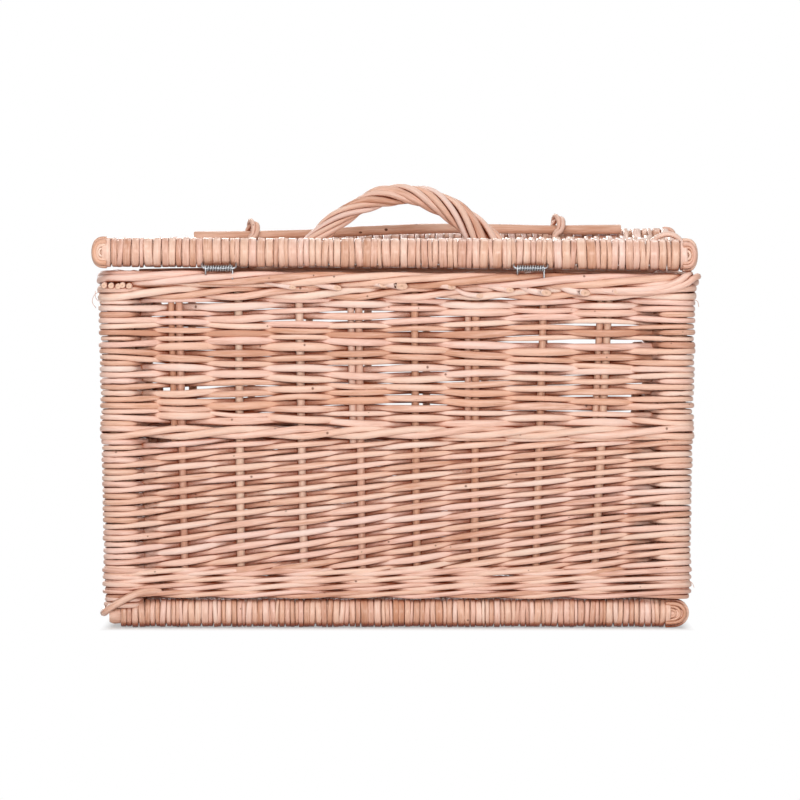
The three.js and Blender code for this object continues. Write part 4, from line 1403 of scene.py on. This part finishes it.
def make_coil(side):
    """Wire coil with one tail up out of the border and one hanging in front of it."""
    low, high = corners(f"hinge_coil_{side}")
    y, z = hinge_axis()
    radius = high[2] - z - COIL_WIRE_HALF
    right, left = high[0] - COIL_WIRE_HALF, low[0] + COIL_WIRE_HALF
    turn = np.linspace(0, 2 * math.pi * (COIL_TURNS + 0.5), COIL_TURNS * 24)
    x = np.linspace(right, left, len(turn))
    winding = np.column_stack([x, y + radius * np.cos(turn), z + radius * np.sin(turn)])
    rising = [(right, y + radius, low[2] + COIL_WIRE_HALF), (right, y + radius, z - 2)]
    drops = ((0, 0), (0, 1.6), (0.3, 3.4), (1.6, 4.8), (7, 5.4))
    hanging = curve([(left, y - radius + deep, z - drop) for deep, drop in drops], 0.8)
    path = np.vstack([even_steps(rising, 1.5), winding, hanging[1:]])
    coil = Bundle(720)
    coil.strand(path, COIL_WIRE_HALF, wide=ALONG_X)
    coil.build(f"hinge_coil_{side}_wire", "basket", [f"hinge_coil_{side}"], WIRE)


def make_link(side, rail):
    """Wire through a coil, with both ends turned up into the lid's back rail."""
    node = f"hinge_link_{side}"
    low, high = corners(node)
    y, z = hinge_axis()
    feet = [np.array([x, y, z]) for x in (low[0] + LINK_WIRE_HALF, high[0] - LINK_WIRE_HALF)]
    rises = [unit(Mat.centre(rail, foot[0]) - foot) for foot in feet]
    tips = [foot + rise * (high[2] - z) for foot, rise in zip(feet, rises)]
    points = [tips[0], feet[0] + unit(tips[0] - feet[0]) * LINK_BEND]
    points += [feet[0] + ALONG_X * LINK_BEND, feet[1] - ALONG_X * LINK_BEND]
    points += [feet[1] + unit(tips[1] - feet[1]) * LINK_BEND, tips[1]]
    link = Bundle(721)
    link.strand(relaxed(even_steps(points, 0.8), 2), LINK_WIRE_HALF, wide=ALONG_Y)
    link.build(f"{node}_wire", body_of(node), [node], WIRE)


# Floor and light

def make_stage():
    """White floor that keeps the shadow close to the carrier and is seen as plain white further out."""
    mesh = bpy.data.meshes.new("floor")
    square = [(x * FLOOR_HALF, y * FLOOR_HALF, 0) for x, y in ((-1, -1), (1, -1), (1, 1), (-1, 1))]
    mesh.from_pydata(square, [], [(0, 1, 2, 3)])
    graph = material_graph("floor_white")
    shader = graph.shader({"Base Color": (0.85, 0.85, 0.85), "Roughness": 1.0, "Specular IOR Level": 0.0})
    x, y, _ = graph.parts(graph.place())
    _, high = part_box("base_weave")
    past_end = graph.math("MULTIPLY_ADD", graph.math("ABSOLUTE", x), 2.5, -2.5 * high[0])
    past_side = graph.math("SUBTRACT", graph.math("ABSOLUTE", y), high[1])
    away = graph.math("MAXIMUM", past_end, past_side)
    share = graph.times(graph.spread(away, 0.0, 0.025, 0.4, 1.0), graph.seen_directly())
    graph.blend(share, shader, graph.add("ShaderNodeEmission"))
    mesh.materials.append(graph.owner)
    floor = add_object("floor", mesh)


def make_world():
    """Even white light, seen as plain white by the camera and in reflections."""
    world = bpy.data.worlds.new("studio")
    bpy.context.scene.world = world
    graph = Graph(world, "ShaderNodeOutputWorld")
    white = (1.0, 1.0, 1.0)
    light = graph.add("ShaderNodeBackground", {"Color": white, "Strength": EVEN_LIGHT})
    seen = graph.add("ShaderNodeBackground", {"Color": white})
    graph.blend(graph.seen_directly(), light, seen)


def make_lamp(name, place, width, height, level):
    """A softbox that lights a face turned to it at a level, where 1 shows a colour as it is written."""
    direction = np.array(LIGHT_AIM) - np.array(place)
    data = bpy.data.lights.new(name, "AREA")
    data.shape = "RECTANGLE"
    data.size = width
    data.size_y = height
    data.energy = level * math.pi**2 * float(direction @ direction)
    lamp = add_object(name, data)
    lamp.location = place
    rise = math.atan2(direction[2], math.hypot(direction[0], direction[1]))
    lamp.rotation_euler = (math.pi / 2 + rise, 0, math.atan2(-direction[0], direction[1]))


make_camera()
make_stage()
make_world()
for softbox, settings in SOFTBOXES.items():
    make_lamp(softbox, *settings)
make_uprights()
make_weaves()
make_wales()
make_border()
make_mat("base", 500, [])
loop_places = [np.mean(reach_of(f"latch_loop_{side}", 0)) for side in ("left", "right")]
lid_mat = make_mat("lid", 550, loop_places)
make_handle(lid_mat)
make_rod()
for hand in ("left", "right"):
    make_loop(hand)
    make_coil(hand)
    make_link(hand, lid_mat.rails[0])

bpy.context.scene.view_settings.view_transform = "Standard"
